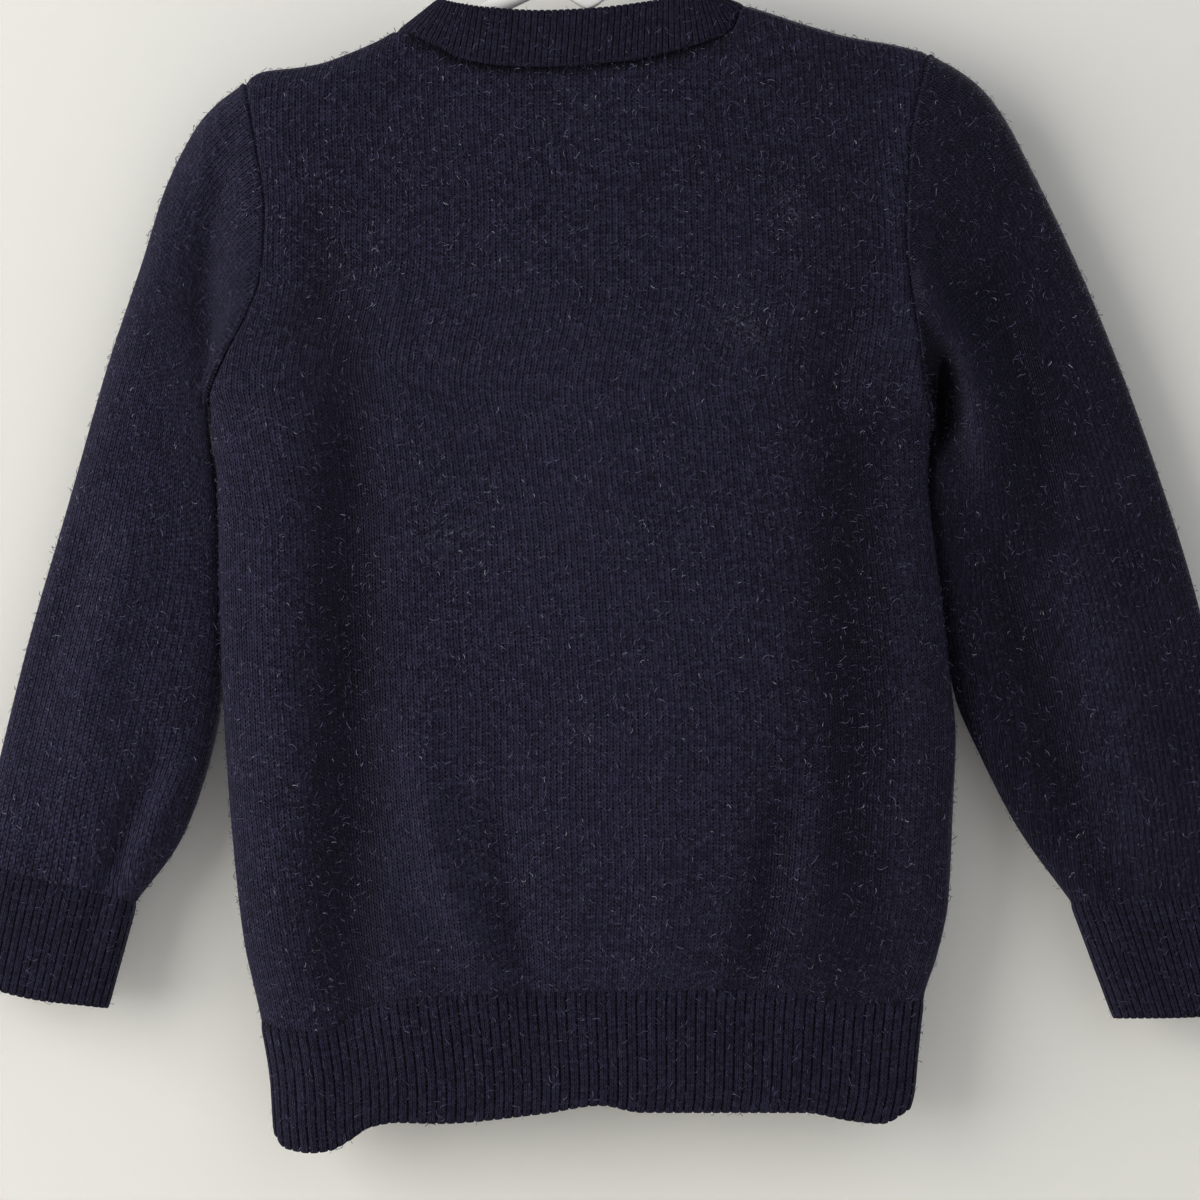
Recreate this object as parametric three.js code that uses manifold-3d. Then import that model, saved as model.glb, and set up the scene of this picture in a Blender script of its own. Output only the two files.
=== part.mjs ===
// A child's wool sweater hung on a moulded hanger, back towards -Y, in millimetres, +Z up.
// The origin is where the hook hangs. The knitted cloth is one surface, cut into its
// pieces along the seams; each piece is a wall of even thickness behind that surface.
import * as THREE from 'three';
import { mergeVertices } from 'three/addons/utils/BufferGeometryUtils.js';
import Module from 'manifold-3d';

const wasm = await Module();
wasm.setup();

// ---- driving dimensions -------------------------------------------------------------
const CLOTH = 2;              // thickness of the knitted wall
const SEAM_GAP = 0.36;        // space between two pieces at a seam
const UNDERARM_LEFT = -240;   // height of the left underarm
const UNDERARM_RIGHT = -250;
const TIP_LEFT = -112;        // height of the shoulder tip, where sleeve meets shoulder
const TIP_RIGHT = -100.4;
const SHOULDER_LEFT = -137;   // place across of the two shoulder tips
const SHOULDER_RIGHT = 134.4;
const NECK_LEFT = -76;        // where the shoulder ends and the neck begins
const NECK_RIGHT = 61;
const WAIST_LEFT = -131;      // ends of the line where the hem rib begins
const WAIST_RIGHT = 133;
const HEM_LEFT = -126;        // ends of the hem's lower edge
const HEM_RIGHT = 127;
const SHOULDER_ROLL = 11;     // how far down the cloth rounds over at the shoulder line
const FRONT_NECK_DROP = 56;   // the front neck edge below the shoulder ends
const BAND_LEFT = -61;        // ends of the neckband's upper edge
const BAND_RIGHT = 49;
const BAND_HALF_BACK = 10.5;  // how far that edge stands behind and before the middle
const BAND_HALF_FRONT = 12;
const CUFF_HALF = 8;          // half the depth of a cuff's open end
const HANGER_TUBE = 3.75;     // radius of the hanger's arms
const HOOK_TUBE = 3;          // radius of the hook
const HOOK_INSIDE = 16;       // inner radius of the hook

// Steps along each piece
const SIDE_ROWS = 11;         // rib line to underarm
const ARM_ROWS = 12;          // underarm to shoulder tip, and half round a sleeve
const SHOULDER_STEPS = 4;
const NECK_STEPS = 10;
const BODY_STEPS = 2 * SHOULDER_STEPS + NECK_STEPS;
const SLEEVE_STEPS = 18;
const RIB_STEPS = 3;

// ---- curves ---------------------------------------------------------------------------
// A smooth value through [at, value] pairs, which never swings past them.
function through(pairs) {
  const at = pairs.map((p) => p[0]);
  const value = pairs.map((p) => p[1]);
  const rise = at.slice(1).map((a, i) => (value[i + 1] - value[i]) / (a - at[i]));
  const slope = at.map((_, i) => {
    if (i === 0) return rise[0];
    if (i === at.length - 1) return rise[i - 1];
    const product = rise[i - 1] * rise[i];
    return product <= 0 ? 0 : (2 * product) / (rise[i - 1] + rise[i]);
  });
  return (x) => {
    const here = THREE.MathUtils.clamp(x, at[0], at[at.length - 1]);
    let i = 0;
    while (i < at.length - 2 && here > at[i + 1]) i += 1;
    const span = at[i + 1] - at[i];
    const t = (here - at[i]) / span;
    const keep = (1 + 2 * t) * (1 - t) * (1 - t);
    const next = t * t * (3 - 2 * t);
    const out = t * (1 - t) * (1 - t) * span;
    const into = t * t * (t - 1) * span;
    return keep * value[i] + next * value[i + 1] + out * slope[i] + into * slope[i + 1];
  };
}
const mix = THREE.MathUtils.lerp;
const smooth = (x, from, to) => THREE.MathUtils.smoothstep(x, from, to);
// The section of a flattened tube: full depth in the middle, rounded at both ends.
const flattened = (c, power) => Math.sqrt(Math.max(0, 1 - Math.abs(c) ** power));
// Fractions 0..1 that crowd towards both ends, as the rounded ends need.
const crowded = (i, n) => (1 - Math.cos((Math.PI * i) / n)) / 2;

// ---- the body's outline and depth -----------------------------------------------------
const leftEdge = through([
  [-537, -125], [-526, -126], [-510, -127], [-486, -131], [-454, -138], [-430, -141],
  [-382, -145], [-334, -147.5], [-270, -149], [-250, -151], [-240, -152], [-224, -146],
  [-205, -136], [-190, -130.5], [-166, -128.8], [-134, -133], [-112, -137],
]);
const rightEdge = through([
  [-526, 126], [-514, 129], [-498, 130.5], [-477, 133], [-458, 139], [-438, 143],
  [-398, 145], [-374, 146], [-350, 144], [-302, 138.5], [-270, 135], [-250, 136],
  [-230, 132], [-206, 129], [-174, 125.2], [-134, 127.2], [-100.4, 134.4],
]);
const backTop = through([
  [-137, -112], [-131, -107.5], [-116, -105.6], [-108, -104.2], [-96, -100], [-84, -94.8],
  [-76, -91], [-60, -96.8], [-51, -101.4], [-35, -104.2], [-19, -104.8], [14, -102.4],
  [41, -96.4], [56, -90], [61, -81], [68, -82.8], [84, -88], [104, -93.6], [124, -97.2],
  [134.4, -100.4],
]);
const frontTop = (x) => {
  const c = (x - neckMiddle) / neckHalf;
  const shoulder = mix(backTop(NECK_LEFT), backTop(NECK_RIGHT), (c + 1) / 2);
  return Math.abs(c) >= 1 ? backTop(x) : shoulder - FRONT_NECK_DROP * (1 - c * c) ** 0.85;
};
const ribLine = through([
  [-131, -486], [-118, -489], [-104, -488.5], [-94, -483], [-84, -478], [-66, -475],
  [0, -472.5], [60, -472], [92, -475], [108, -478], [133, -477],
]);
const hemLine = through([
  [-126, -530], [-122, -535.5], [-112, -537], [-104, -536], [-96, -532], [-87, -526.5],
  [-76, -524.5], [-60, -524.8], [-20, -521], [4, -517.5], [20, -520.3], [84, -520.5],
  [104, -524], [117, -525.4], [127, -520],
]);
const halfDepth = through([
  [-537, 12], [-510, 14], [-482, 15.5], [-450, 19], [-400, 22], [-320, 21],
  [-250, 18.5], [-180, 16.5], [-130, 14], [-105, 12], [-80, 11],
]);
const neckMiddle = (NECK_LEFT + NECK_RIGHT) / 2;
const neckHalf = (NECK_RIGHT - NECK_LEFT) / 2;
const neckOpen = (x) => flattened(Math.min(1, Math.abs((x - neckMiddle) / neckHalf)), 7);

// Long soft folds: height -> place across, with a width and a rise towards the outside.
const backFolds = [
  { line: [[-480, -96], [-380, -93], [-225, -96]], width: 13, rise: -5 },
  { line: [[-440, 100], [-340, 101], [-255, 98]], width: 10, rise: -4.5 },
  { line: [[-478, -10], [-380, -4], [-200, -8]], width: 44, rise: 3 },
  { line: [[-462, -44], [-428, -57], [-372, -67]], width: 7, rise: 4 },
  { line: [[-474, -24], [-445, -31], [-408, -36]], width: 8, rise: -4 },
  { line: [[-470, 66], [-440, 69], [-402, 72]], width: 8, rise: -4 },
  { line: [[-436, 87], [-400, 90], [-370, 92]], width: 7, rise: 3 },
  { line: [[-532, -112], [-500, -108], [-476, -106]], width: 9, rise: 3 },
];
const frontFolds = [
  { line: [[-480, 84], [-380, 90], [-230, 95]], width: 13, rise: -4.5 },
  { line: [[-470, -88], [-360, -94], [-250, -98]], width: 12, rise: -4.5 },
  { line: [[-474, 20], [-380, 12], [-200, 8]], width: 46, rise: 3 },
  { line: [[-470, -30], [-430, -38], [-390, -40]], width: 9, rise: -3.5 },
  { line: [[-470, 50], [-436, 58], [-392, 60]], width: 9, rise: -3 },
];
const sleeveFolds = {
  left: [
    { line: [[-222, -153], [-190, -153], [-160, -149], [-138, -145]], width: 6, rise: -4.5 },
    { line: [[-400, -205], [-340, -195], [-280, -178]], width: 11, rise: 3 },
  ],
  right: [
    { line: [[-266, 158], [-238, 157], [-214, 148], [-190, 133]], width: 5, rise: 6 },
    { line: [[-275, 172], [-240, 170], [-205, 160]], width: 7, rise: -4 },
    { line: [[-420, 218], [-350, 205], [-290, 188]], width: 12, rise: 3 },
  ],
};
for (const fold of [...backFolds, ...frontFolds, ...sleeveFolds.left, ...sleeveFolds.right]) {
  fold.across = through(fold.line);
  fold.low = fold.line[0][0];
  fold.high = fold.line[fold.line.length - 1][0];
}
function foldRise(folds, x, z) {
  let total = 0;
  for (const fold of folds) {
    const fade = (fold.high - fold.low) * 0.3;
    const ends = smooth(z, fold.low - fade, fold.low + fade)
      * (1 - smooth(z, fold.high - fade, fold.high + fade));
    total += fold.rise * ends * Math.exp(-(((x - fold.across(z)) / fold.width) ** 2));
  }
  return total;
}

// How deep the armhole edge stands at a height, as a share of the body's half depth.
function armholeShare(z, underarm) {
  const up = THREE.MathUtils.clamp((z - underarm) / 45, 0, 1);
  return 0.92 * Math.sqrt(1 - (1 - up) ** 2);
}
// The body's cloth: side is -1 for the back and 1 for the front.
function bodyY(side, x, z) {
  const left = leftEdge(z);
  const right = rightEdge(z);
  const c = THREE.MathUtils.clamp((2 * x - left - right) / (right - left), -1, 1);
  const edge = c < 0 ? armholeShare(z, UNDERARM_LEFT) : armholeShare(z, UNDERARM_RIGHT);
  const round = flattened(c, 6);
  const top = side < 0 ? backTop(x) : frontTop(x);
  const drop = THREE.MathUtils.clamp((top - z) / SHOULDER_ROLL, 0, 1);
  const roll = Math.sqrt(1 - (1 - drop) ** 2);
  const over = mix(roll, 1, neckOpen(x));
  const folds = foldRise(side < 0 ? backFolds : frontFolds, x, z) * round ** 2;
  return side * (halfDepth(z) * mix(edge, 1, round) * over + folds);
}

// ---- grids of points --------------------------------------------------------------------
const point = (x, y, z) => new THREE.Vector3(x, y, z);

// Places across the top of a panel: shoulder, neck, shoulder.
function acrossTop() {
  const places = [];
  const shoulder = (from, to, i) => mix(from, to, i / SHOULDER_STEPS);
  for (let i = 0; i < SHOULDER_STEPS; i += 1) places.push(shoulder(SHOULDER_LEFT, NECK_LEFT, i));
  for (let i = 0; i < NECK_STEPS; i += 1) {
    places.push(mix(NECK_LEFT, NECK_RIGHT, crowded(i, NECK_STEPS)));
  }
  for (let i = 0; i <= SHOULDER_STEPS; i += 1) places.push(shoulder(NECK_RIGHT, SHOULDER_RIGHT, i));
  return places;
}
const topPlaces = acrossTop();
const bottomPlaces = topPlaces.map((_, k) => mix(WAIST_LEFT, WAIST_RIGHT, crowded(k, BODY_STEPS)));

// Heights up one side of a panel, rib line to shoulder tip.
function upTheSide(foot, underarm, tip) {
  const heights = [];
  for (let j = 0; j < SIDE_ROWS; j += 1) heights.push(mix(foot, underarm, j / SIDE_ROWS));
  for (let j = 0; j <= ARM_ROWS; j += 1) heights.push(mix(underarm, tip, crowded(j, ARM_ROWS)));
  return heights;
}
const leftHeights = upTheSide(ribLine(WAIST_LEFT), UNDERARM_LEFT, TIP_LEFT);
const rightHeights = upTheSide(ribLine(WAIST_RIGHT), UNDERARM_RIGHT, TIP_RIGHT);

function panelGrid(side) {
  const top = side < 0 ? backTop : frontTop;
  const rows = leftHeights.length - 1;
  const grid = [];
  for (let j = 0; j <= rows; j += 1) {
    const v = (leftHeights[j] - leftHeights[0]) / (leftHeights[rows] - leftHeights[0]);
    const row = [];
    for (let k = 0; k <= BODY_STEPS; k += 1) {
      const low = (bottomPlaces[k] - WAIST_LEFT) / (WAIST_RIGHT - WAIST_LEFT);
      const high = (topPlaces[k] - SHOULDER_LEFT) / (SHOULDER_RIGHT - SHOULDER_LEFT);
      const u = mix(low, high, v);
      const footRise = ribLine(bottomPlaces[k]) - mix(leftHeights[0], rightHeights[0], low);
      const topRise = top(topPlaces[k]) - mix(TIP_LEFT, TIP_RIGHT, high);
      const z = mix(leftHeights[j], rightHeights[j], u) + (1 - v) * footRise + v * topRise;
      const x = mix(leftEdge(z), rightEdge(z), u);
      const place = j === rows ? topPlaces[k] : x;
      row.push(point(place, bodyY(side, place, z), z));
    }
    grid.push(row);
  }
  return grid;
}

// Once round the hem: along the back from left to right, then along the front.
function hemGrid() {
  const grid = [];
  for (let j = 0; j <= RIB_STEPS; j += 1) {
    const row = [];
    for (let k = 0; k < 2 * BODY_STEPS; k += 1) {
      const side = k < BODY_STEPS ? -1 : 1;
      const n = k <= BODY_STEPS ? k : 2 * BODY_STEPS - k;
      const place = bottomPlaces[n];
      const low = hemLine(mix(HEM_LEFT, HEM_RIGHT, crowded(n, BODY_STEPS)));
      const z = mix(ribLine(place), low, j / RIB_STEPS);
      const x = mix(leftEdge(z), rightEdge(z), crowded(n, BODY_STEPS));
      row.push(point(x, bodyY(side, x, z), z));
    }
    grid.push(row);
  }
  return grid;
}

// A sleeve: the outer and the inner edge from the armhole (0) to the cuff (1).
const sleeves = {
  left: {
    tip: TIP_LEFT, underarm: UNDERARM_LEFT, edge: leftEdge,
    outerX: through([[0, -137], [0.05, -147], [0.1, -157], [0.2, -170], [0.3, -180],
      [0.45, -194], [0.6, -209], [0.75, -226], [0.9, -240], [1, -247]]),
    outerZ: through([[0, -112], [0.05, -118.5], [0.1, -128], [0.2, -151], [0.3, -182],
      [0.45, -224], [0.6, -277], [0.75, -336], [0.9, -394], [1, -422]]),
    innerX: through([[0, -152], [0.05, -157], [0.1, -156.6], [0.2, -151], [0.3, -147.4],
      [0.45, -145], [0.6, -144.5], [0.75, -147.5], [0.82, -153], [0.9, -164], [1, -182]]),
    innerZ: through([[0, -240], [0.05, -241], [0.1, -246], [0.2, -258], [0.3, -271],
      [0.45, -292], [0.6, -320], [0.75, -358], [0.82, -384], [0.9, -414], [1, -439]]),
    shift: through([[0, 0], [0.1, 9], [0.25, 13.5], [0.7, 12.5], [1, 8]]),
    half: through([[0, 17], [0.2, 17], [0.5, 16.5], [0.8, 13.5], [1, 9.5]]),
    cuff: { outer: [-256, -468], inner: [-193.5, -481], dip: 4 },
  },
  right: {
    tip: TIP_RIGHT, underarm: UNDERARM_RIGHT, edge: rightEdge,
    outerX: through([[0, 134.4], [0.05, 146], [0.1, 157.5], [0.15, 167], [0.2, 175],
      [0.3, 190], [0.45, 209], [0.6, 228], [0.75, 246.5], [0.9, 258.5], [1, 264]]),
    outerZ: through([[0, -100.4], [0.05, -106], [0.1, -114], [0.15, -125.5], [0.2, -140],
      [0.3, -170], [0.45, -214], [0.6, -266], [0.75, -328], [0.9, -393], [1, -434]]),
    innerX: through([[0, 136], [0.05, 141], [0.1, 140.6], [0.2, 135.6], [0.3, 133.6],
      [0.45, 136], [0.6, 140.5], [0.75, 147], [0.82, 156.5], [0.9, 172], [1, 192.8]]),
    innerZ: through([[0, -250], [0.05, -251], [0.1, -255], [0.2, -266], [0.3, -279],
      [0.45, -300], [0.6, -326], [0.75, -358], [0.82, -380], [0.9, -410], [1, -439]]),
    shift: through([[0, 0], [0.1, 9], [0.25, 13.5], [0.7, 12.5], [1, 8]]),
    half: through([[0, 17], [0.2, 16], [0.5, 14], [0.8, 11.5], [1, 9]]),
    cuff: { outer: [274, -481], inner: [210, -485], dip: 2 },
  },
};
const SLEEVE_POWER = 4;
const sleeveStation = (j) => (j / SLEEVE_STEPS) ** 1.25;

// One point on a sleeve: t along it, w from its outer (0) to its inner edge (1).
function sleevePoint(name, t, w, side) {
  const sleeve = sleeves[name];
  const free = smooth(t, 0, 0.3);
  const armZ = mix(sleeve.tip, sleeve.underarm, w);
  const armX = sleeve.edge(armZ);
  const armY = bodyY(side, armX, armZ);
  const chordX = mix(sleeve.edge(sleeve.tip), sleeve.edge(sleeve.underarm), w);
  const bow = (armX - chordX) * (1 - free);
  const x = mix(sleeve.outerX(t), sleeve.innerX(t), w) + bow;
  const z = mix(sleeve.outerZ(t), sleeve.innerZ(t), w);
  const round = flattened(2 * w - 1, SLEEVE_POWER);
  const folds = side < 0 ? foldRise(sleeveFolds[name], x, z) * round * smooth(t, 0, 0.06) : 0;
  const hang = sleeve.shift(t) + side * (sleeve.half(t) * round + folds);
  return point(x, mix(armY, hang, smooth(t, 0, 0.16)), z);
}
// Once round a sleeve: down the back from the outer edge, then up the front.
function around(makePoint) {
  const row = [];
  for (let k = 0; k < 2 * ARM_ROWS; k += 1) {
    const side = k < ARM_ROWS ? -1 : 1;
    const n = k <= ARM_ROWS ? k : 2 * ARM_ROWS - k;
    row.push(makePoint(crowded(n, ARM_ROWS), side));
  }
  return row;
}
function sleeveGrid(name) {
  const grid = [];
  for (let j = 0; j <= SLEEVE_STEPS; j += 1) {
    grid.push(around((w, side) => sleevePoint(name, sleeveStation(j), w, side)));
  }
  return grid;
}
function cuffGrid(name) {
  const { cuff, shift } = sleeves[name];
  const grid = [];
  for (let j = 0; j <= RIB_STEPS; j += 1) {
    grid.push(around((w, side) => {
      const top = sleevePoint(name, 1, w, side);
      const dip = cuff.dip * Math.sin(Math.PI * w) ** 2;
      const round = flattened(2 * w - 1, SLEEVE_POWER);
      const low = point(
        mix(cuff.outer[0], cuff.inner[0], w), shift(1) + side * CUFF_HALF * round,
        mix(cuff.outer[1], cuff.inner[1], w) - dip * 0.5,
      );
      return top.lerp(low, j / RIB_STEPS);
    }));
  }
  return grid;
}

// The neckband rises from the neck edge and leans in over the shoulders.
const bandTop = through([
  [-61, -79.2], [-52, -81.6], [-40, -83.4], [-20, -84.6], [0, -83.8], [31, -79.8], [49, -76.4],
]);
function neckbandGrid() {
  const grid = [];
  for (let j = 0; j <= RIB_STEPS; j += 1) {
    const row = [];
    for (let k = 0; k < 2 * NECK_STEPS; k += 1) {
      const side = k < NECK_STEPS ? -1 : 1;
      const n = k <= NECK_STEPS ? k : 2 * NECK_STEPS - k;
      const w = crowded(n, NECK_STEPS);
      const foot = mix(NECK_LEFT, NECK_RIGHT, w);
      const footZ = (side < 0 ? backTop : frontTop)(foot);
      const low = point(foot, bodyY(side, foot, footZ), footZ);
      const lip = mix(BAND_LEFT, BAND_RIGHT, w);
      const drop = (FRONT_NECK_DROP - 3) * (1 - (2 * w - 1) ** 2) ** 0.9;
      const lipZ = side < 0 ? bandTop(lip) : mix(bandTop(BAND_LEFT), bandTop(BAND_RIGHT), w) - drop;
      const lipDepth = side < 0 ? BAND_HALF_BACK : BAND_HALF_FRONT;
      const high = point(lip, side * lipDepth * flattened(2 * w - 1, 5), lipZ);
      const ease = j / RIB_STEPS;
      const place = low.clone().lerp(high, ease);
      place.y += side * 0.8 * Math.sin(Math.PI * ease) * flattened(2 * w - 1, 4);
      row.push(place);
    }
    grid.push(row);
  }
  return grid;
}

// ---- from grids to walls ---------------------------------------------------------------
const pieces = [
  { name: 'back_panel', grid: panelGrid(-1), ring: false, flip: false, seams: 'all' },
  { name: 'front_panel', grid: panelGrid(1), ring: false, flip: true, seams: 'all' },
  { name: 'sleeve_left', grid: sleeveGrid('left'), ring: true, flip: true, seams: 'both' },
  { name: 'sleeve_right', grid: sleeveGrid('right'), ring: true, flip: false, seams: 'both' },
  { name: 'cuff_left', grid: cuffGrid('left'), ring: true, flip: true, seams: 'first' },
  { name: 'cuff_right', grid: cuffGrid('right'), ring: true, flip: false, seams: 'first' },
  { name: 'hem_rib', grid: hemGrid(), ring: true, flip: true, seams: 'first' },
  { name: 'neckband', grid: neckbandGrid(), ring: true, flip: false, seams: 'first' },
];

// Smooth outward directions over the whole cloth, shared where two pieces meet.
const keyOf = (p) => [p.x, p.y, p.z].map((n) => Math.round(n * 100) / 100 + 0).join(' ');
const outward = new Map();
function addFace(a, b, c) {
  const face = b.clone().sub(a).cross(c.clone().sub(a));
  for (const corner of [a, b, c]) {
    const key = keyOf(corner);
    if (!outward.has(key)) outward.set(key, new THREE.Vector3());
    outward.get(key).add(face);
  }
}
// Every cell of a grid as two triangles of [row, column] corners.
function cells(piece) {
  const { grid, ring, flip } = piece;
  const count = grid[0].length;
  const list = [];
  for (let j = 0; j + 1 < grid.length; j += 1) {
    for (let k = 0; k < (ring ? count : count - 1); k += 1) {
      const m = (k + 1) % count;
      const corners = [[j, k], [j, m], [j + 1, m], [j + 1, k]];
      if (flip) corners.reverse();
      list.push([corners[0], corners[1], corners[2]], [corners[0], corners[2], corners[3]]);
    }
  }
  return list;
}
for (const piece of pieces) {
  for (const cell of cells(piece)) addFace(...cell.map(([j, k]) => piece.grid[j][k]));
}

// Draw a seam edge back from its neighbour, square to the cloth's own direction.
function drawnBack(grid, ring, j, k, seams, normal) {
  const here = grid[j][k].clone();
  const rows = grid.length - 1;
  const columns = grid[0].length - 1;
  const steps = [];
  const lastSeam = seams === 'all' || seams === 'both';
  if (j === 0) steps.push([1, 0]);
  if (j === rows && lastSeam) steps.push([-1, 0]);
  if (!ring && k === 0) steps.push([0, 1]);
  if (!ring && k === columns) steps.push([0, -1]);
  for (const [dj, dk] of steps) {
    const inward = grid[j + dj][k + dk].clone().sub(grid[j][k]);
    const count = columns + 1;
    const before = dj !== 0 ? grid[j][ring ? (k + count - 1) % count : Math.max(0, k - 1)]
      : grid[Math.max(0, j - 1)][k];
    const after = dj !== 0 ? grid[j][ring ? (k + 1) % count : Math.min(columns, k + 1)]
      : grid[Math.min(rows, j + 1)][k];
    const along = after.clone().sub(before).normalize();
    inward.addScaledVector(along, -inward.dot(along));
    inward.addScaledVector(normal, -inward.dot(normal)).normalize();
    here.addScaledVector(inward, SEAM_GAP / 2);
  }
  return here;
}

function clothWall(piece) {
  const { grid, ring, seams } = piece;
  const count = grid[0].length;
  const size = grid.length * count;
  const positions = new Float32Array(size * 6);
  grid.forEach((row, j) => row.forEach((place, k) => {
    const normal = outward.get(keyOf(place)).clone().normalize();
    const outer = drawnBack(grid, ring, j, k, seams, normal);
    const inner = outer.clone().addScaledVector(normal, -CLOTH);
    outer.toArray(positions, (j * count + k) * 3);
    inner.toArray(positions, (size + j * count + k) * 3);
  }));
  const index = [];
  const at = ([j, k]) => j * count + k;
  const edges = new Set();
  for (const cell of cells(piece)) {
    const [a, b, c] = cell.map(at);
    index.push(a, b, c, size + a, size + c, size + b);
    for (const [from, to] of [[a, b], [b, c], [c, a]]) {
      if (edges.has(`${to} ${from}`)) edges.delete(`${to} ${from}`);
      else edges.add(`${from} ${to}`);
    }
  }
  // The edges left over have cloth on one side only: close them with the wall's rim,
  // split the same way on both sides of a seam.
  const place = (n) => keyOf(grid[Math.floor(n / count)][n % count]);
  for (const edge of edges) {
    const [a, b] = edge.split(' ').map(Number);
    if (place(a) < place(b)) index.push(b, a, size + a, b, size + a, size + b);
    else index.push(b, a, size + b, a, size + a, size + b);
  }
  const geometry = new THREE.BufferGeometry();
  geometry.setAttribute('position', new THREE.BufferAttribute(positions, 3));
  geometry.setIndex(index);
  return geometry;
}

// ---- the hanger -------------------------------------------------------------------------
function solidOf(geometry) {
  geometry.deleteAttribute('normal');
  geometry.deleteAttribute('uv');
  const merged = mergeVertices(geometry, 1e-4);
  return new wasm.Manifold(new wasm.Mesh({
    numProp: 3,
    vertProperties: merged.attributes.position.array,
    triVerts: new Uint32Array(merged.index.array),
  }));
}
function roundRod(points, radius, steps, sides) {
  const outline = new THREE.Shape();
  outline.absarc(0, 0, radius, 0, Math.PI * 2);
  const path = new THREE.CatmullRomCurve3(points.map((p) => point(p[0], 0, p[1])));
  return solidOf(new THREE.ExtrudeGeometry(outline, {
    steps, curveSegments: sides / 2, bevelEnabled: false, extrudePath: path,
  }));
}
function ball(x, z, radius) {
  const geometry = new THREE.SphereGeometry(radius, 8, 6);
  geometry.translate(x, 0, z);
  return solidOf(geometry);
}
const HUB = [0, -63.6];
const LEFT_ARM = [HUB, [-35, -80], [-58, -92.6], [-75, -101.6], [-100, -111], [-125, -119],
  [-142, -126]];
const RIGHT_ARM = [HUB, [24, -74.6], [45, -85.4], [61, -92.6], [84, -99.4], [120, -109.4],
  [148, -119.5]];
const HOOK_MIDDLE = -HOOK_INSIDE;

function hookPoints() {
  const bend = HOOK_INSIDE + HOOK_TUBE;
  const points = [];
  for (let degrees = 195; degrees >= -45; degrees -= 30) {
    const turn = THREE.MathUtils.degToRad(degrees);
    points.push([bend * Math.cos(turn), HOOK_MIDDLE + bend * Math.sin(turn)]);
  }
  points.push([3, -40], [0, -48], HUB);
  return points;
}
function hangerGeometry() {
  const gusset = new THREE.Shape();
  gusset.moveTo(-19, -71);
  gusset.lineTo(-4, -81.2);
  gusset.quadraticCurveTo(-1, -84, 2.5, -81.2);
  gusset.lineTo(17, -70);
  gusset.lineTo(4, -58);
  gusset.lineTo(-4, -58);
  const plate = new THREE.ExtrudeGeometry(gusset, { depth: 6, bevelEnabled: false });
  plate.rotateX(Math.PI / 2);
  plate.translate(0, 3, 0);
  const hook = hookPoints();
  const solids = [
    roundRod(LEFT_ARM, HANGER_TUBE, 9, 8), roundRod(RIGHT_ARM, HANGER_TUBE, 9, 8),
    ball(...LEFT_ARM[LEFT_ARM.length - 1], HANGER_TUBE),
    ball(...RIGHT_ARM[RIGHT_ARM.length - 1], HANGER_TUBE),
    ball(...HUB, HANGER_TUBE + 1.5), solidOf(plate),
    roundRod(hook, HOOK_TUBE, 20, 8), ball(...hook[0], HOOK_TUBE),
  ];
  const body = solids.reduce((sum, solid) => sum.add(solid)).getMesh();
  const geometry = new THREE.BufferGeometry();
  geometry.setAttribute('position', new THREE.BufferAttribute(body.vertProperties, 3));
  geometry.setIndex(new THREE.BufferAttribute(body.triVerts, 1));
  return geometry;
}

// ---- the whole object -------------------------------------------------------------------
const wool = () => new THREE.MeshStandardMaterial({
  color: 0x1b1b2b, roughness: 0.95, metalness: 0,
});
const plastic = new THREE.MeshStandardMaterial({ color: 0xf1efe9, roughness: 0.35, metalness: 0 });

const sweater = new THREE.Group();
for (const piece of pieces) {
  const mesh = new THREE.Mesh(clothWall(piece), wool());
  mesh.name = piece.name;
  sweater.add(mesh);
}
const hanger = new THREE.Mesh(hangerGeometry(), plastic);
hanger.name = 'hanger';
sweater.add(hanger);

export default sweater;
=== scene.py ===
"""A child's wool sweater hung on a moulded hanger, seen from the back.

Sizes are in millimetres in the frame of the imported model, and become metres when a mesh is made.
The cloth is one surface in space, cut into panels, sleeves, cuffs, hem and neckband.
"""
import math

import bpy
import numpy as np
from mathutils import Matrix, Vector


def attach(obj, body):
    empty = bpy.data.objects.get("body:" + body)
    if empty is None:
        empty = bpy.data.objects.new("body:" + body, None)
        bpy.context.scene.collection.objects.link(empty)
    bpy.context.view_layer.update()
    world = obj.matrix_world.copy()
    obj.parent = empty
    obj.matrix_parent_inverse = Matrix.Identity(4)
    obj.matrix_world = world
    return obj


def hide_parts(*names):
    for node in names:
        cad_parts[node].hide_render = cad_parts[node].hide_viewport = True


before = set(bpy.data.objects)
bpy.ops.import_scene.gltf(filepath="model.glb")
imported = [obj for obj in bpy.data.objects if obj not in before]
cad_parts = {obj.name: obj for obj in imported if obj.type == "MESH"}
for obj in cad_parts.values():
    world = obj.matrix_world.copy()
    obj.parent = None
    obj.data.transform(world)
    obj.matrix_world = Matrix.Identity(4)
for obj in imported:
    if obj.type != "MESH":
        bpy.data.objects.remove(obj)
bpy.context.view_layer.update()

MM = 0.001

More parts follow.
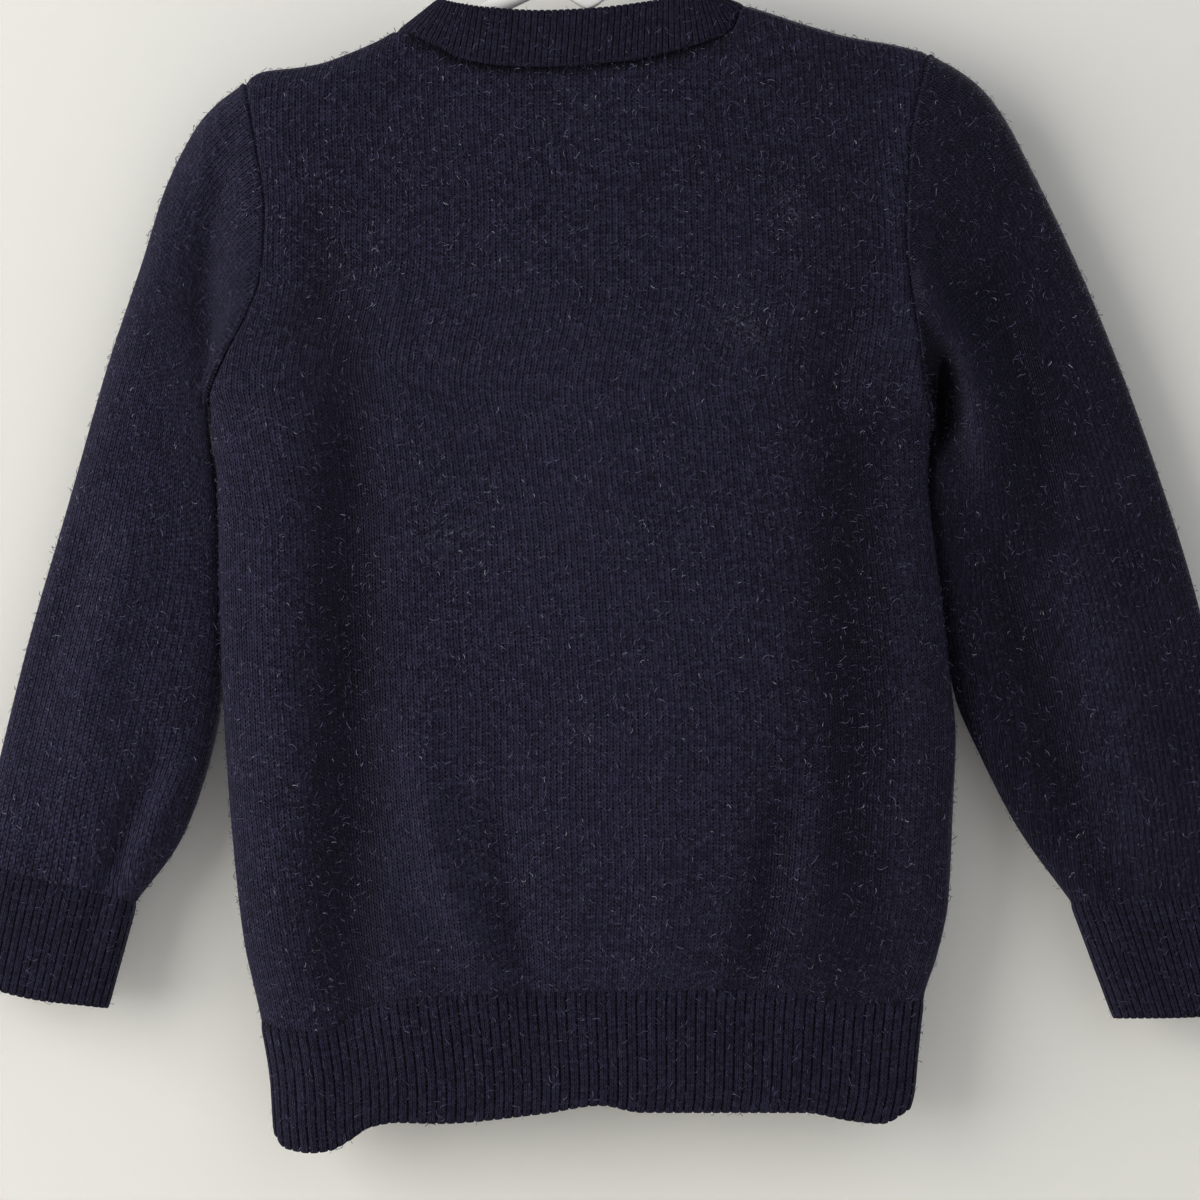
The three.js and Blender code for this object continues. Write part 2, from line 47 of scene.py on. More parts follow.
# ---- driving dimensions
CLOTH = 1.8  # thickness of the knit
UNDERARM_LEFT = -240
UNDERARM_RIGHT = -250
SHOULDER_LEFT = -137  # place across and height of the shoulder tips
SHOULDER_RIGHT = 134.4
TIP_LEFT = -112
TIP_RIGHT = -100.4
NECK_LEFT = -76  # where the shoulders end and the neck begins
NECK_RIGHT = 61
WAIST_LEFT = -131  # ends of the line where the hem rib begins
WAIST_RIGHT = 133
HEM_LEFT = -126  # ends of the hem's lower edge
HEM_RIGHT = 127
BAND_LEFT = -61  # ends of the neckband's upper edge
BAND_RIGHT = 49
BAND_LAP = 0.11  # share of the band that laps down over the neck edge
BAND_HALF_BACK = 10.5
BAND_HALF_FRONT = 12
CUFF_HALF = 8
SHOULDER_ROLL = 11  # how far down the cloth rounds over at the shoulder
FRONT_NECK_DROP = 56
SLEEVE_POWER = 4  # how square a sleeve's section is
ARMHOLE_DEPTH = 0.92  # depth at the shoulder tip, as a share of the body's half depth
ARMHOLE_RISE = 45  # height over which the armhole edge opens to it
FOLD_FADE = 0.3  # share of a fold's length over which each end fades
HOLLOW_DEPTH = 10  # the sunk place under the right arm

SIDE_ROWS = 11  # steps along the pieces, each cut finer below
ARM_ROWS = 12
SHOULDER_STEPS = 4
NECK_STEPS = 10
BODY_STEPS = 2 * SHOULDER_STEPS + NECK_STEPS
SLEEVE_STEPS = 18

WALE = 2.42  # width of one column of stitches
COURSE = 1.66  # height of one row of stitches


# ---- curves and blends
def through(pairs):
    """A smooth value through (at, value) pairs, which never swings past them."""
    at, value = (np.array(column, float) for column in zip(*pairs))
    rise = np.diff(value) / np.diff(at)
    slope = np.concatenate([rise[:1], np.zeros(len(at) - 2), rise[-1:]])
    product = rise[:-1] * rise[1:]
    total = np.where(product > 0, rise[:-1] + rise[1:], 1)
    slope[1:-1] = np.where(product > 0, 2 * product / total, 0)

    def value_at(x):
        here = np.clip(np.asarray(x, float), at[0], at[-1])
        i = np.clip(np.searchsorted(at, here, side="left") - 1, 0, len(at) - 2)
        span = at[i + 1] - at[i]
        t = (here - at[i]) / span
        keep = (1 + 2 * t) * (1 - t) ** 2
        onward = t * t * (3 - 2 * t)
        leave = t * (1 - t) ** 2 * span
        arrive = t * t * (t - 1) * span
        return keep * value[i] + onward * value[i + 1] + leave * slope[i] + arrive * slope[i + 1]

    return value_at


def mix(a, b, t):
    return a + (b - a) * t


def smooth(x, low, high):
    t = np.clip((np.asarray(x, float) - low) / (high - low), 0, 1)
    return t * t * (3 - 2 * t)


def flattened(c, power):
    """The section of a flattened tube: full depth in the middle, rounded at both ends."""
    return np.sqrt(np.clip(1 - np.abs(c) ** power, 0, 1))


def crowded(t):
    """Fractions 0 to 1 that crowd towards both ends."""
    return (1 - np.cos(np.pi * np.asarray(t, float))) / 2


# ---- the body's outline and depth
left_edge = through([
    (-537, -125), (-526, -126), (-510, -127), (-486, -131), (-454, -138), (-430, -141),
    (-382, -145), (-334, -147.5), (-270, -149), (-250, -151), (-240, -152), (-224, -146),
    (-205, -136), (-190, -130.5), (-166, -128.8), (-134, -133), (-112, -137)])
right_edge = through([
    (-526, 126), (-514, 129), (-498, 130.5), (-477, 133), (-458, 139), (-438, 143),
    (-398, 145), (-374, 146), (-350, 144), (-302, 138.5), (-270, 135), (-250, 136),
    (-230, 132), (-206, 129), (-174, 125.2), (-134, 127.2), (-100.4, 134.4)])
back_top = through([
    (-137, -112), (-131, -107.5), (-116, -105.6), (-108, -104.2), (-96, -100), (-84, -94.8),
    (-76, -91), (-60, -96.8), (-51, -101.4), (-35, -104.2), (-19, -104.8), (14, -102.4),
    (41, -96.4), (56, -90), (61, -81), (68, -82.8), (84, -88), (104, -93.6), (124, -97.2),
    (134.4, -100.4)])
rib_line = through([
    (-131, -486), (-118, -489), (-104, -488.5), (-94, -483), (-84, -478), (-66, -475),
    (0, -472.5), (60, -472), (92, -475), (108, -478), (133, -477)])
hem_line = through([
    (-126, -530), (-122, -535.5), (-112, -537), (-104, -536), (-96, -532), (-87, -526.5),
    (-76, -524.5), (-60, -524.8), (-20, -521), (4, -517.5), (20, -520.3), (84, -520.5),
    (104, -524), (117, -525.4), (127, -520)])
half_depth = through([
    (-537, 12), (-510, 14), (-482, 15.5), (-450, 19), (-400, 22), (-320, 21),
    (-250, 18.5), (-180, 16.5), (-130, 14), (-105, 12), (-80, 11)])
NECK_MIDDLE = (NECK_LEFT + NECK_RIGHT) / 2
NECK_HALF = (NECK_RIGHT - NECK_LEFT) / 2


def front_top(x):
    c = np.clip((x - NECK_MIDDLE) / NECK_HALF, -1, 1)
    shoulder = mix(back_top(NECK_LEFT), back_top(NECK_RIGHT), (c + 1) / 2)
    inside = shoulder - FRONT_NECK_DROP * (1 - c * c) ** 0.85
    return np.where(np.abs(c) >= 1, back_top(x), inside)


def neck_open(x):
    return flattened(np.clip((x - NECK_MIDDLE) / NECK_HALF, -1, 1), 7)


# Folds: points (height, place across) up the fold, its half width, its rise outwards.
BACK_FOLDS = [
    ([(-486, -98), (-400, -95), (-225, -97)], 15, -10),
    ([(-480, -126), (-380, -127), (-250, -128)], 11, 2.5),
    ([(-450, 100), (-340, 103), (-235, 101)], 15, -7.2),
    ([(-450, 128), (-340, 128), (-260, 124)], 9, 2.5),
    ([(-478, -10), (-380, -4), (-200, -8)], 44, 3.5),
    ([(-466, -42), (-428, -57), (-372, -69)], 8, 5),
    ([(-478, -22), (-445, -31), (-400, -37)], 9, -5),
    ([(-474, 62), (-440, 68), (-396, 73)], 9, -5),
    ([(-440, 86), (-400, 90), (-365, 93)], 8, 3.5),
    ([(-474, 22), (-446, 26), (-410, 27)], 11, 2.5),
    ([(-532, -112), (-500, -108), (-476, -106)], 9, 3),
    ([(-250, 104), (-222, 112), (-196, 119)], 9, 3),
    ([(-215, -112), (-190, -106), (-160, -104)], 10, -2.5),
]
FRONT_FOLDS = [
    ([(-480, 84), (-380, 90), (-230, 95)], 13, -6),
    ([(-470, -88), (-360, -94), (-250, -98)], 12, -6),
    ([(-474, 20), (-380, 12), (-200, 8)], 46, 3),
    ([(-470, -30), (-430, -38), (-390, -40)], 9, -4),
    ([(-470, 50), (-436, 58), (-392, 60)], 9, -4),
]
SLEEVE_FOLDS = {
    "left": [
        ([(-222, -153), (-190, -153), (-160, -149), (-138, -145)], 7, -5),
        ([(-400, -205), (-340, -195), (-280, -178)], 12, 4),
        ([(-440, -196), (-410, -186), (-380, -173)], 6, -5),
        ([(-440, -186), (-414, -176), (-386, -163)], 5, 3.5),
        ([(-372, -228), (-330, -214), (-290, -202)], 10, -3),
    ],
    "right": [
        ([(-268, 156), (-246, 154), (-226, 149), (-208, 140.5), (-194, 131)], 5.5, 7),
        ([(-252, 141), (-238, 138.5), (-224, 136), (-212, 132)], 6, -7),
        ([(-290, 182), (-240, 175), (-200, 160)], 10, -6),
        ([(-420, 218), (-350, 205), (-290, 188)], 13, 4),
        ([(-400, 190), (-350, 176), (-310, 164)], 9, -4),
    ],
}


def fold_rise(folds, x, z):
    total = np.zeros(np.broadcast(x, z).shape)
    for line, width, rise in folds:
        low, high = line[0][0], line[-1][0]
        fade = (high - low) * FOLD_FADE
        ends = smooth(z, low - fade, low + fade) * (1 - smooth(z, high - fade, high + fade))
        total += rise * ends * np.exp(-(((x - through(line)(z)) / width) ** 2))
    return total


def armhole_share(z, underarm):
    """How deep the armhole edge stands at a height, as a share of the body's half depth."""
    up = np.clip((z - underarm) / ARMHOLE_RISE, 0, 1)
    return ARMHOLE_DEPTH * np.sqrt(1 - (1 - up) ** 2)


def body_y(side, x, z):
    """The body's cloth at a place: side is -1 for the back and 1 for the front."""
    left, right = left_edge(z), right_edge(z)
    c = np.clip((2 * x - left - right) / (right - left), -1, 1)
    edge = np.where(c < 0, armhole_share(z, UNDERARM_LEFT), armhole_share(z, UNDERARM_RIGHT))
    around = flattened(c, 6)
    top = back_top(x) if side < 0 else front_top(x)
    drop = np.clip((top - z) / SHOULDER_ROLL, 0, 1)
    over = mix(np.sqrt(1 - (1 - drop) ** 2), 1, neck_open(x))
    folds = fold_rise(BACK_FOLDS if side < 0 else FRONT_FOLDS, x, z) * around ** 2
    return side * (half_depth(z) * mix(edge, 1, around) * over + folds)


# ---- surfaces: grids of points, arrays [row, column, xyz]
def top_place(k):
    """Place across a panel's top edge at the step k: shoulder, neck, shoulder."""
    after = SHOULDER_STEPS + NECK_STEPS
    neck = mix(NECK_LEFT, NECK_RIGHT, crowded((k - SHOULDER_STEPS) / NECK_STEPS))
    first = mix(SHOULDER_LEFT, NECK_LEFT, k / SHOULDER_STEPS)
    last = mix(NECK_RIGHT, SHOULDER_RIGHT, (k - after) / SHOULDER_STEPS)
    return np.where(k <= SHOULDER_STEPS, first, np.where(k >= after, last, neck))


def side_height(j, foot, underarm, tip):
    """Height up a panel's side at the step j: rib line, underarm, shoulder tip."""
    low = mix(foot, underarm, j / SIDE_ROWS)
    high = mix(underarm, tip, crowded((j - SIDE_ROWS) / ARM_ROWS))
    return np.where(j < SIDE_ROWS, low, high)


def panel_grid(side, finer):
    """A body panel from the rib line up, each coarse step cut into this many."""
    k = np.linspace(0, BODY_STEPS, BODY_STEPS * finer + 1)[None, :]
    j = np.linspace(0, SIDE_ROWS + ARM_ROWS, (SIDE_ROWS + ARM_ROWS) * finer + 1)[:, None]
    foot_left, foot_right = rib_line(WAIST_LEFT), rib_line(WAIST_RIGHT)
    left = side_height(j, foot_left, UNDERARM_LEFT, TIP_LEFT)
    right = side_height(j, foot_right, UNDERARM_RIGHT, TIP_RIGHT)
    v = (left - foot_left) / (TIP_LEFT - foot_left)
    low = crowded(k / BODY_STEPS)
    high = (top_place(k) - SHOULDER_LEFT) / (SHOULDER_RIGHT - SHOULDER_LEFT)
    u = mix(low, high, v)
    top = back_top if side < 0 else front_top
    foot_rise = rib_line(mix(WAIST_LEFT, WAIST_RIGHT, low)) - mix(foot_left, foot_right, low)
    top_rise = top(top_place(k)) - mix(TIP_LEFT, TIP_RIGHT, high)
    z = mix(left, right, u) + (1 - v) * foot_rise + v * top_rise
    x = mix(left_edge(z), right_edge(z), u)
    x[-1] = top_place(k)[0]
    return np.stack([x, body_y(side, x, z), z], axis=-1)


def round_trip(steps, finer):
    """Out along the back and home along the front: the side and the place across, 0 to 1."""
    n = np.arange(2 * steps * finer)[None, :] / finer
    return np.where(n < steps, -1, 1), crowded(np.where(n <= steps, n, 2 * steps - n) / steps)


def by_side(side, make):
    """Back values where side is -1 and front values elsewhere."""
    return np.where(side < 0, make(-1), make(1))


def hem_grid(rows, finer):
    """Once round the hem, from the rib line down."""
    side, w = round_trip(BODY_STEPS, finer)
    t = np.linspace(0, 1, rows + 1)[:, None]
    low = hem_line(mix(HEM_LEFT, HEM_RIGHT, w))
    z = mix(rib_line(mix(WAIST_LEFT, WAIST_RIGHT, w)), low, t)
    x = mix(left_edge(z), right_edge(z), w)
    y = by_side(side, lambda s: body_y(s, x, z))
    return np.stack([x, y, z], axis=-1)


def line_along(rows):
    """A curve across and a curve up from (share along it, place across, height) rows."""
    share, across, height = zip(*rows)
    return through(zip(share, across)), through(zip(share, height))


# A sleeve's outer and inner edges from the armhole (0) to the cuff (1).
SLEEVES = {
    "left": {
        "tip": TIP_LEFT, "underarm": UNDERARM_LEFT, "edge": left_edge,
        "outer": line_along([
            (0, -137, -112), (0.05, -147, -118.5), (0.1, -157, -128), (0.2, -170, -151),
            (0.3, -180, -182), (0.45, -194, -224), (0.6, -209, -277), (0.75, -226, -336),
            (0.9, -240, -394), (1, -247, -422)]),
        "inner": line_along([
            (0, -152, -240), (0.05, -157, -241), (0.1, -156.6, -246), (0.2, -151, -258),
            (0.3, -147.4, -271), (0.45, -145, -292), (0.6, -144.5, -320), (0.75, -147.5, -358),
            (0.82, -153, -384), (0.9, -164, -414), (1, -182, -439)]),
        "half": through([(0, 17), (0.2, 17), (0.5, 16.5), (0.8, 13.5), (1, 9.5)]),
        "cuff_outer": (-256, -468), "cuff_inner": (-193.5, -481), "cuff_dip": 4, "hollow": 0,
    },
    "right": {
        "tip": TIP_RIGHT, "underarm": UNDERARM_RIGHT, "edge": right_edge,
        "outer": line_along([
            (0, 134.4, -100.4), (0.05, 146, -106), (0.1, 157.5, -114), (0.15, 167, -125.5),
            (0.2, 175, -140), (0.3, 190, -170), (0.45, 209, -214), (0.6, 228, -266),
            (0.75, 246.5, -328), (0.9, 258.5, -393), (1, 264, -434)]),
        "inner": line_along([
            (0, 136, -250), (0.05, 137.2, -251), (0.1, 136.8, -255), (0.2, 134.4, -266),
            (0.3, 133.6, -279), (0.45, 136, -300), (0.6, 140.5, -326), (0.75, 147, -358),
            (0.82, 156.5, -380), (0.9, 172, -410), (1, 192.8, -439)]),
        "half": through([(0, 17), (0.2, 16), (0.5, 14), (0.8, 11.5), (1, 9)]),
        "cuff_outer": (274, -481), "cuff_inner": (210, -485), "cuff_dip": 2, "hollow": 1,
    },
}
# How far the middle of a sleeve hangs towards the front.
sleeve_shift = through([(0, 0), (0.1, 9), (0.25, 13.5), (0.7, 12.5), (1, 8)])


def underarm_hollow(x, z):
    """The sunk place under the right arm: 1 at its middle."""
    return np.exp(-((x - 138) / 7.5) ** 2 - ((z + 240) / 18) ** 4)


def sleeve_point(name, t, w, side):
    """Points on a sleeve: t along it, w from its outer (0) to its inner edge (1)."""
    sleeve = SLEEVES[name]
    tip, underarm, edge = sleeve["tip"], sleeve["underarm"], sleeve["edge"]
    arm_z = mix(tip, underarm, w)
    arm_x = edge(arm_z)
    arm_y = body_y(side, arm_x, arm_z)
    bow = (arm_x - mix(edge(tip), edge(underarm), w)) * (1 - smooth(t, 0, 0.3))
    (outer_x, outer_z), (inner_x, inner_z) = sleeve["outer"], sleeve["inner"]
    x = mix(outer_x(t), inner_x(t), w) + bow
    z = mix(outer_z(t), inner_z(t), w)
    around = flattened(2 * w - 1, SLEEVE_POWER)
    folds = 0
    if side < 0:
        folds = fold_rise(SLEEVE_FOLDS[name], x, z) * around * smooth(t, 0, 0.035)
    hang = sleeve_shift(t) + side * sleeve["half"](t) * around
    y = mix(arm_y, hang, smooth(t, 0, 0.16)) + side * folds
    # The back sinks in beside the body's edge, and the front follows it only there.
    sunk = HOLLOW_DEPTH * sleeve["hollow"] * (1 if side < 0 else 1 - around)
    y = y + sunk * underarm_hollow(x, z) * smooth(t, 0, 0.014)
    return np.stack([x, y, z], axis=-1)


def sleeve_grid(name, finer):
    side, w = round_trip(ARM_ROWS, finer)
    t = np.linspace(0, 1, SLEEVE_STEPS * finer + 1)[:, None] ** 1.25
    w, t = np.broadcast_arrays(w, t)
    return by_side(side[..., None], lambda s: sleeve_point(name, t, w, s))


def cuff_grid(name, rows, finer):
    sleeve = SLEEVES[name]
    side, w = round_trip(ARM_ROWS, finer)
    top = by_side(side[..., None], lambda s: sleeve_point(name, 1 + 0 * w, w, s))
    outer, inner = sleeve["cuff_outer"], sleeve["cuff_inner"]
    dip = sleeve["cuff_dip"] * np.sin(np.pi * w) ** 2
    low = np.stack([
        mix(outer[0], inner[0], w),
        sleeve_shift(1) + side * CUFF_HALF * flattened(2 * w - 1, SLEEVE_POWER),
        mix(outer[1], inner[1], w) - dip * 0.5], axis=-1)
    return mix(top, low, np.linspace(0, 1, rows + 1)[:, None, None])


band_top = through([
    (-61, -79.2), (-52, -81.6), (-40, -83.4), (-20, -84.6), (0, -83.8), (31, -79.8),
    (49, -76.4)])


def neckband_grid(rows, finer):
    """The neckband rises from the neck edge and leans in over the shoulders."""
    side, w = round_trip(NECK_STEPS, finer)
    foot = mix(NECK_LEFT, NECK_RIGHT, w)
    foot_z = np.where(side < 0, back_top(foot), front_top(foot))
    foot_y = by_side(side, lambda s: body_y(s, foot, foot_z))
    out = 2 * w - 1
    narrowed = 1 - (BAND_RIGHT - BAND_LEFT) / (NECK_RIGHT - NECK_LEFT)
    share = out * (1 - narrowed * np.abs(out) ** 3) / (1 - narrowed)
    lip = mix(BAND_LEFT, BAND_RIGHT, (share + 1) / 2)
    drop = (FRONT_NECK_DROP - 3) * (1 - out ** 2) ** 0.9
    front_lip = mix(band_top(BAND_LEFT), band_top(BAND_RIGHT), w) - drop
    lip_z = np.where(side < 0, band_top(lip), front_lip)
    depth = np.where(side < 0, BAND_HALF_BACK, BAND_HALF_FRONT)
    t = np.linspace(-BAND_LAP, 1, rows + 1)[:, None]
    y = mix(foot_y, side * depth * flattened(2 * w - 1, 5), t)
    proud = 0.8 * np.sin(np.pi * np.clip(t, 0, 1)) + 1.8 * ridge(t, 0.02, 0.16)
    y = y + side * proud * flattened(2 * w - 1, 4)
    return np.stack([mix(foot, lip, t), y, mix(foot_z, lip_z, t)], axis=-1)


# ---- from grids to walls of cloth
FINER = 7  # cuts in each coarse step of the panels and sleeves


def length_along(grid, axis):
    """Distance from the first row or column, measured over the cloth."""
    step = np.linalg.norm(np.diff(grid, axis=axis), axis=-1)
    total = np.cumsum(step, axis=axis)
    return np.concatenate([np.zeros_like(np.take(total, [0], axis)), total], axis=axis)


def closed(grid):
    """A ring's grid with its first column again at the end."""
    return np.concatenate([grid, grid[:, :1]], axis=1)


def evenly_round(grid, count):
    """A ring's columns moved to even distances round its first row, and alike on every row."""
    ring = closed(grid)
    at = length_along(ring, 1)[0]
    place = np.interp(np.linspace(0, at[-1], count, endpoint=False), at, np.arange(len(at)))
    before = np.minimum(place.astype(int), len(at) - 2)
    return mix(ring[:, before], ring[:, before + 1], (place - before)[None, :, None])


def outward_of(grid, ring, turn):
    """Unit directions out of the cloth at each point."""
    if ring:
        across = np.roll(grid, -1, axis=1) - np.roll(grid, 1, axis=1)
    else:
        across = np.gradient(grid, axis=1)
    up = np.gradient(grid, axis=0)
    normal = np.cross(across, up) * turn
    size = np.linalg.norm(normal, axis=-1, keepdims=True)
    return normal / np.maximum(size, 1e-9)


def grid_faces(rows, columns, ring, turn):
    """Corner numbers of each cell, facing outwards."""
    last = columns if ring else columns - 1
    j, k = np.meshgrid(np.arange(rows - 1), np.arange(last), indexing="ij")
    m = (k + 1) % columns
    corners = np.stack([j * columns + k, j * columns + m, (j + 1) * columns + m,
                        (j + 1) * columns + k], axis=-1).reshape(-1, 4)
    return corners if turn > 0 else corners[:, ::-1]


def rim_faces(outer):
    """Walls that join the open edges of the outer face to the inner face."""
    a, b = outer.reshape(-1), np.roll(outer, -1, axis=1).reshape(-1)
    size = outer.max() + 1
    alone = ~np.isin(a * size + b, b * size + a)
    a, b = a[alone], b[alone]
    return np.stack([b, a, a + size, b + size], axis=-1)


def cell_uv(near, far, turn):
    """Stitch counts at the four corners of each cell, from both of its sides."""
    corners = np.stack([near[:-1], far[:-1], far[1:], near[1:]], axis=2)
    corners = corners.reshape(-1, 4, 2)
    return corners if turn > 0 else corners[:, ::-1]


def add_object(name, data):
    obj = bpy.data.objects.new(name, data)
    bpy.context.scene.collection.objects.link(obj)
    return obj


def mesh_object(name, points, faces, edges=()):
    mesh = bpy.data.meshes.new(name)
    mesh.from_pydata((np.asarray(points) * MM).tolist(), list(edges), [tuple(f) for f in faces])
    return add_object(name, mesh)


def evaluated_mesh(obj):
    """The mesh that an object's modifiers make of it."""
    graph = bpy.context.evaluated_depsgraph_get()
    return bpy.data.meshes.new_from_object(obj.evaluated_get(graph))


def set_layer(obj, name, values):
    """One value at each point, for the trees and materials to read by name."""
    layers = obj.data.attributes
    layer = layers.get(name) or layers.new(name, "FLOAT", "POINT")
    layer.data.foreach_set("value", np.asarray(values, np.float32).ravel())


def get_layer(obj, name):
    values = np.zeros(len(obj.data.vertices), np.float32)
    obj.data.attributes[name].data.foreach_get("value", values)
    return values


def cloth_wall(name, grid, ring, turn, stitch_near, stitch_far, rise=0, layers=None):
    """A closed wall of knit: the grid is its outer face, and the inner one lies CLOTH behind."""
    rows, columns = grid.shape[:2]
    normal = outward_of(grid, ring, turn)
    outer = grid + normal * np.broadcast_to(rise, (rows, columns))[..., None]
    inner = grid - normal * CLOTH
    faces = grid_faces(rows, columns, ring, turn)
    size = rows * columns
    rims = rim_faces(faces)
    everything = np.concatenate([faces, faces[:, ::-1] + size, rims])
    obj = mesh_object(name, np.concatenate([outer.reshape(-1, 3), inner.reshape(-1, 3)]),
                      everything)
    corners = cell_uv(stitch_near, stitch_far, turn)
    uv = np.concatenate([corners, corners[:, ::-1], np.zeros((len(rims), 4, 2))])
    stitches = obj.data.uv_layers.new(name="stitches")
    stitches.data.foreach_set("uv", uv.astype(np.float32).ravel())
    obj.data.shade_smooth()
    set_layer(obj, "outside", np.concatenate([np.ones(size), np.zeros(size)]))
    for label, values in (layers or {}).items():
        both = np.broadcast_to(values, (rows, columns)).ravel()
        set_layer(obj, label, np.concatenate([both, both]))
    return obj


# ---- the pieces of the sweater
def ridge(distance, middle, width):
    return np.exp(-(((distance - middle) / width) ** 2))


def seam_rise(distance):
    """The doubled linking ridge beside a seam: a narrow groove, then a rounded bead."""
    beads = 0.85 * ridge(distance, 1.9, 1.1) + 0.3 * ridge(distance, 4.6, 1.0)
    return beads - 0.5 * ridge(distance, 0, 0.6)


PATCHES = [  # pale felted flecks: place across, height, half width, strength
    (60, -210, 17, 0.95), (80, -162, 13, 0.8), (-98, -187, 16, 0.75), (-54, -294, 20, 0.75),
    (-4, -118, 24, 0.7), (-2, -368, 12, 0.7), (106, -236, 12, 0.5), (-70, -150, 18, 0.5),
    (30, -300, 22, 0.4), (-20, -430, 20, 0.4)]


def fleck_patches(grid):
    total = np.zeros(grid.shape[:2])
    for x, z, width, strength in PATCHES:
        far = ((grid[..., 0] - x) ** 2 + (grid[..., 2] - z) ** 2) / width ** 2
        total = np.maximum(total, strength * np.exp(-far))
    return total


def wear_and_shading_places(grid, folds):
    """Wear and painted light of the knit: paler on ridges (painted highlight) and in its middle,
    darker in troughs, to the right and under the neckband (painted shade).
    """
    x, z = grid[..., 0], grid[..., 2]
    middle = np.exp(-((x + 2) / 78) ** 2 - ((z + 300) / 130) ** 2)
    low_middle = np.exp(-((x - 5) / 60) ** 2 - ((z + 430) / 60) ** 2)
    # Where the painted shadow under the neckband falls, with its darker groove just below the neck
    # edge.
    below_neck = np.clip(back_top(x) - z, 0, None)
    near_neck = (x > NECK_LEFT + 4) & (x < NECK_RIGHT - 4)
    band_shadow = near_neck * np.exp(-(below_neck / 5) ** 2)
    groove = near_neck * np.exp(-((below_neck - 3.4) / 1.5) ** 2)
    # Painted highlight on fold ridges and painted shade in fold troughs; paler in the middle and
    # in a patch low in the middle.
    worn = 0.4 + fold_rise(folds, x, z) / 20 + 0.24 * middle + 0.1 * low_middle
    # Painted shade: darker towards the right, away from the light on the left.
    worn = worn - 0.14 * smooth(x, 20, 110)
    # Painted shadow under the neckband, going below nought in the groove so that it darkens most
    # there.
    return np.clip(worn - 0.7 * band_shadow, 0, 1) - 0.45 * groove


def body_panel(name, side):
    grid = panel_grid(side, FINER)
    rows, columns = grid.shape[:2]
    row = np.arange(rows)[:, None]
    across = length_along(grid, 1)
    whole = across[:, -1:]
    underarm = SIDE_ROWS * FINER
    wales = round(float(whole[underarm, 0]) / WALE)
    below = wales * across / whole
    middle = across[:, columns // 2:columns // 2 + 1]
    above = wales / 2 + (across - middle) / (whole[underarm, 0] / wales)
    u = mix(below, above, smooth(row, underarm - 3 * FINER, underarm))
    up = length_along(grid, 0)
    foot = grid[0, :, 2] - grid[0, 0, 2]
    v = (up + np.linspace(0, 1, rows)[:, None] * foot) / COURSE
    stitches = np.stack([u, v], axis=-1)
    from_side = np.minimum(across, whole - across)
    armhole = smooth(row, underarm - FINER, underarm + FINER)
    from_top = up[-1:] - up
    on_shoulder = (grid[-1, :, 0] < NECK_LEFT) | (grid[-1, :, 0] > NECK_RIGHT)
    shoulder = ridge(from_top, 7, 1.2) * 0.35 * on_shoulder * (side < 0)
    neck = ~on_shoulder * (0.9 * ridge(from_top, 8, 2.6) - 1.3 * ridge(from_top, 1, 3.0))
    rise = seam_rise(from_side) * armhole * smooth(from_top, 0, 4) + shoulder + neck
    folds = BACK_FOLDS if side < 0 else FRONT_FOLDS
    # Paler along the side edges: wear and painted rim highlight.
    layers = {"lint": fleck_patches(grid) if side < 0 else 0.15,
              "worn": wear_and_shading_places(grid, folds) + 0.3 * ridge(from_side, 0, 9)}
    turn = 1 if side < 0 else -1
    return cloth_wall(name, grid, False, turn, stitches[:, :-1], stitches[:, 1:], rise, layers)


def sleeve_piece(arm, turn):
    """A sleeve's stitches are counted from its outer edge, round both ways to its inner edge."""
    grid = sleeve_grid(arm, FINER)
    round_it = length_along(closed(grid), 1)
    from_start, from_end = round_it / WALE, (round_it - round_it[:, -1:]) / WALE
    from_armhole = length_along(grid, 0)
    courses = closed(from_armhole) / COURSE
    on_back = np.arange(grid.shape[1]) < ARM_ROWS * FINER
    near, far = (
        np.stack([np.where(on_back, from_start[:, part], from_end[:, part]),
                  courses[:, part]], axis=-1) for part in (slice(None, -1), slice(1, None)))
    x, z = grid[..., 0], grid[..., 2]
    # Painted highlight on fold ridges and painted shade in fold troughs.
    worn = 0.4 + fold_rise(SLEEVE_FOLDS[arm], x, z) / 18
    # Painted light: the left sleeve paler and the right one darker, as lit from the left.
    worn = np.clip(worn + (0.2 if arm == "left" else -0.22), 0, 1)
    # Painted shade in the hollow under the right arm, below nought so that it goes darkest there.
    worn = worn - 1.6 * SLEEVES[arm]["hollow"] * underarm_hollow(x, z)
    layers = {"lint": 0.12, "worn": worn}
    return cloth_wall("knit_sleeve_" + arm, grid, True, turn, near, far,
                      seam_rise(from_armhole), layers)


RIB_COLUMNS = 8  # columns of cells in one rib


def ribbed_piece(name, grid, turn, pitch):
    """A ring of two-wale ribs: its columns fall evenly on the ribs, whose depth comes later."""
    around = float(length_along(closed(grid), 1)[0, -1])
    ribs = round(around / pitch)
    even = evenly_round(grid, ribs * RIB_COLUMNS)
    phase = np.arange(ribs * RIB_COLUMNS + 1) / RIB_COLUMNS
    wales = 2 * np.floor(phase) + np.clip((phase % 1 - 0.1) / 0.4, 0, 2)
    from_seam = length_along(even, 0)
    up = closed(from_seam) / COURSE
    stitches = np.stack([np.broadcast_to(wales, up.shape), up], axis=-1)
    layers = {"rib": phase[:-1], "rib_fade": smooth(from_seam, 0.5, 3), "lint": 0.12,
              "worn": 0.42}
    return cloth_wall(name, even, True, turn, stitches[:, :-1], stitches[:, 1:], layers=layers)


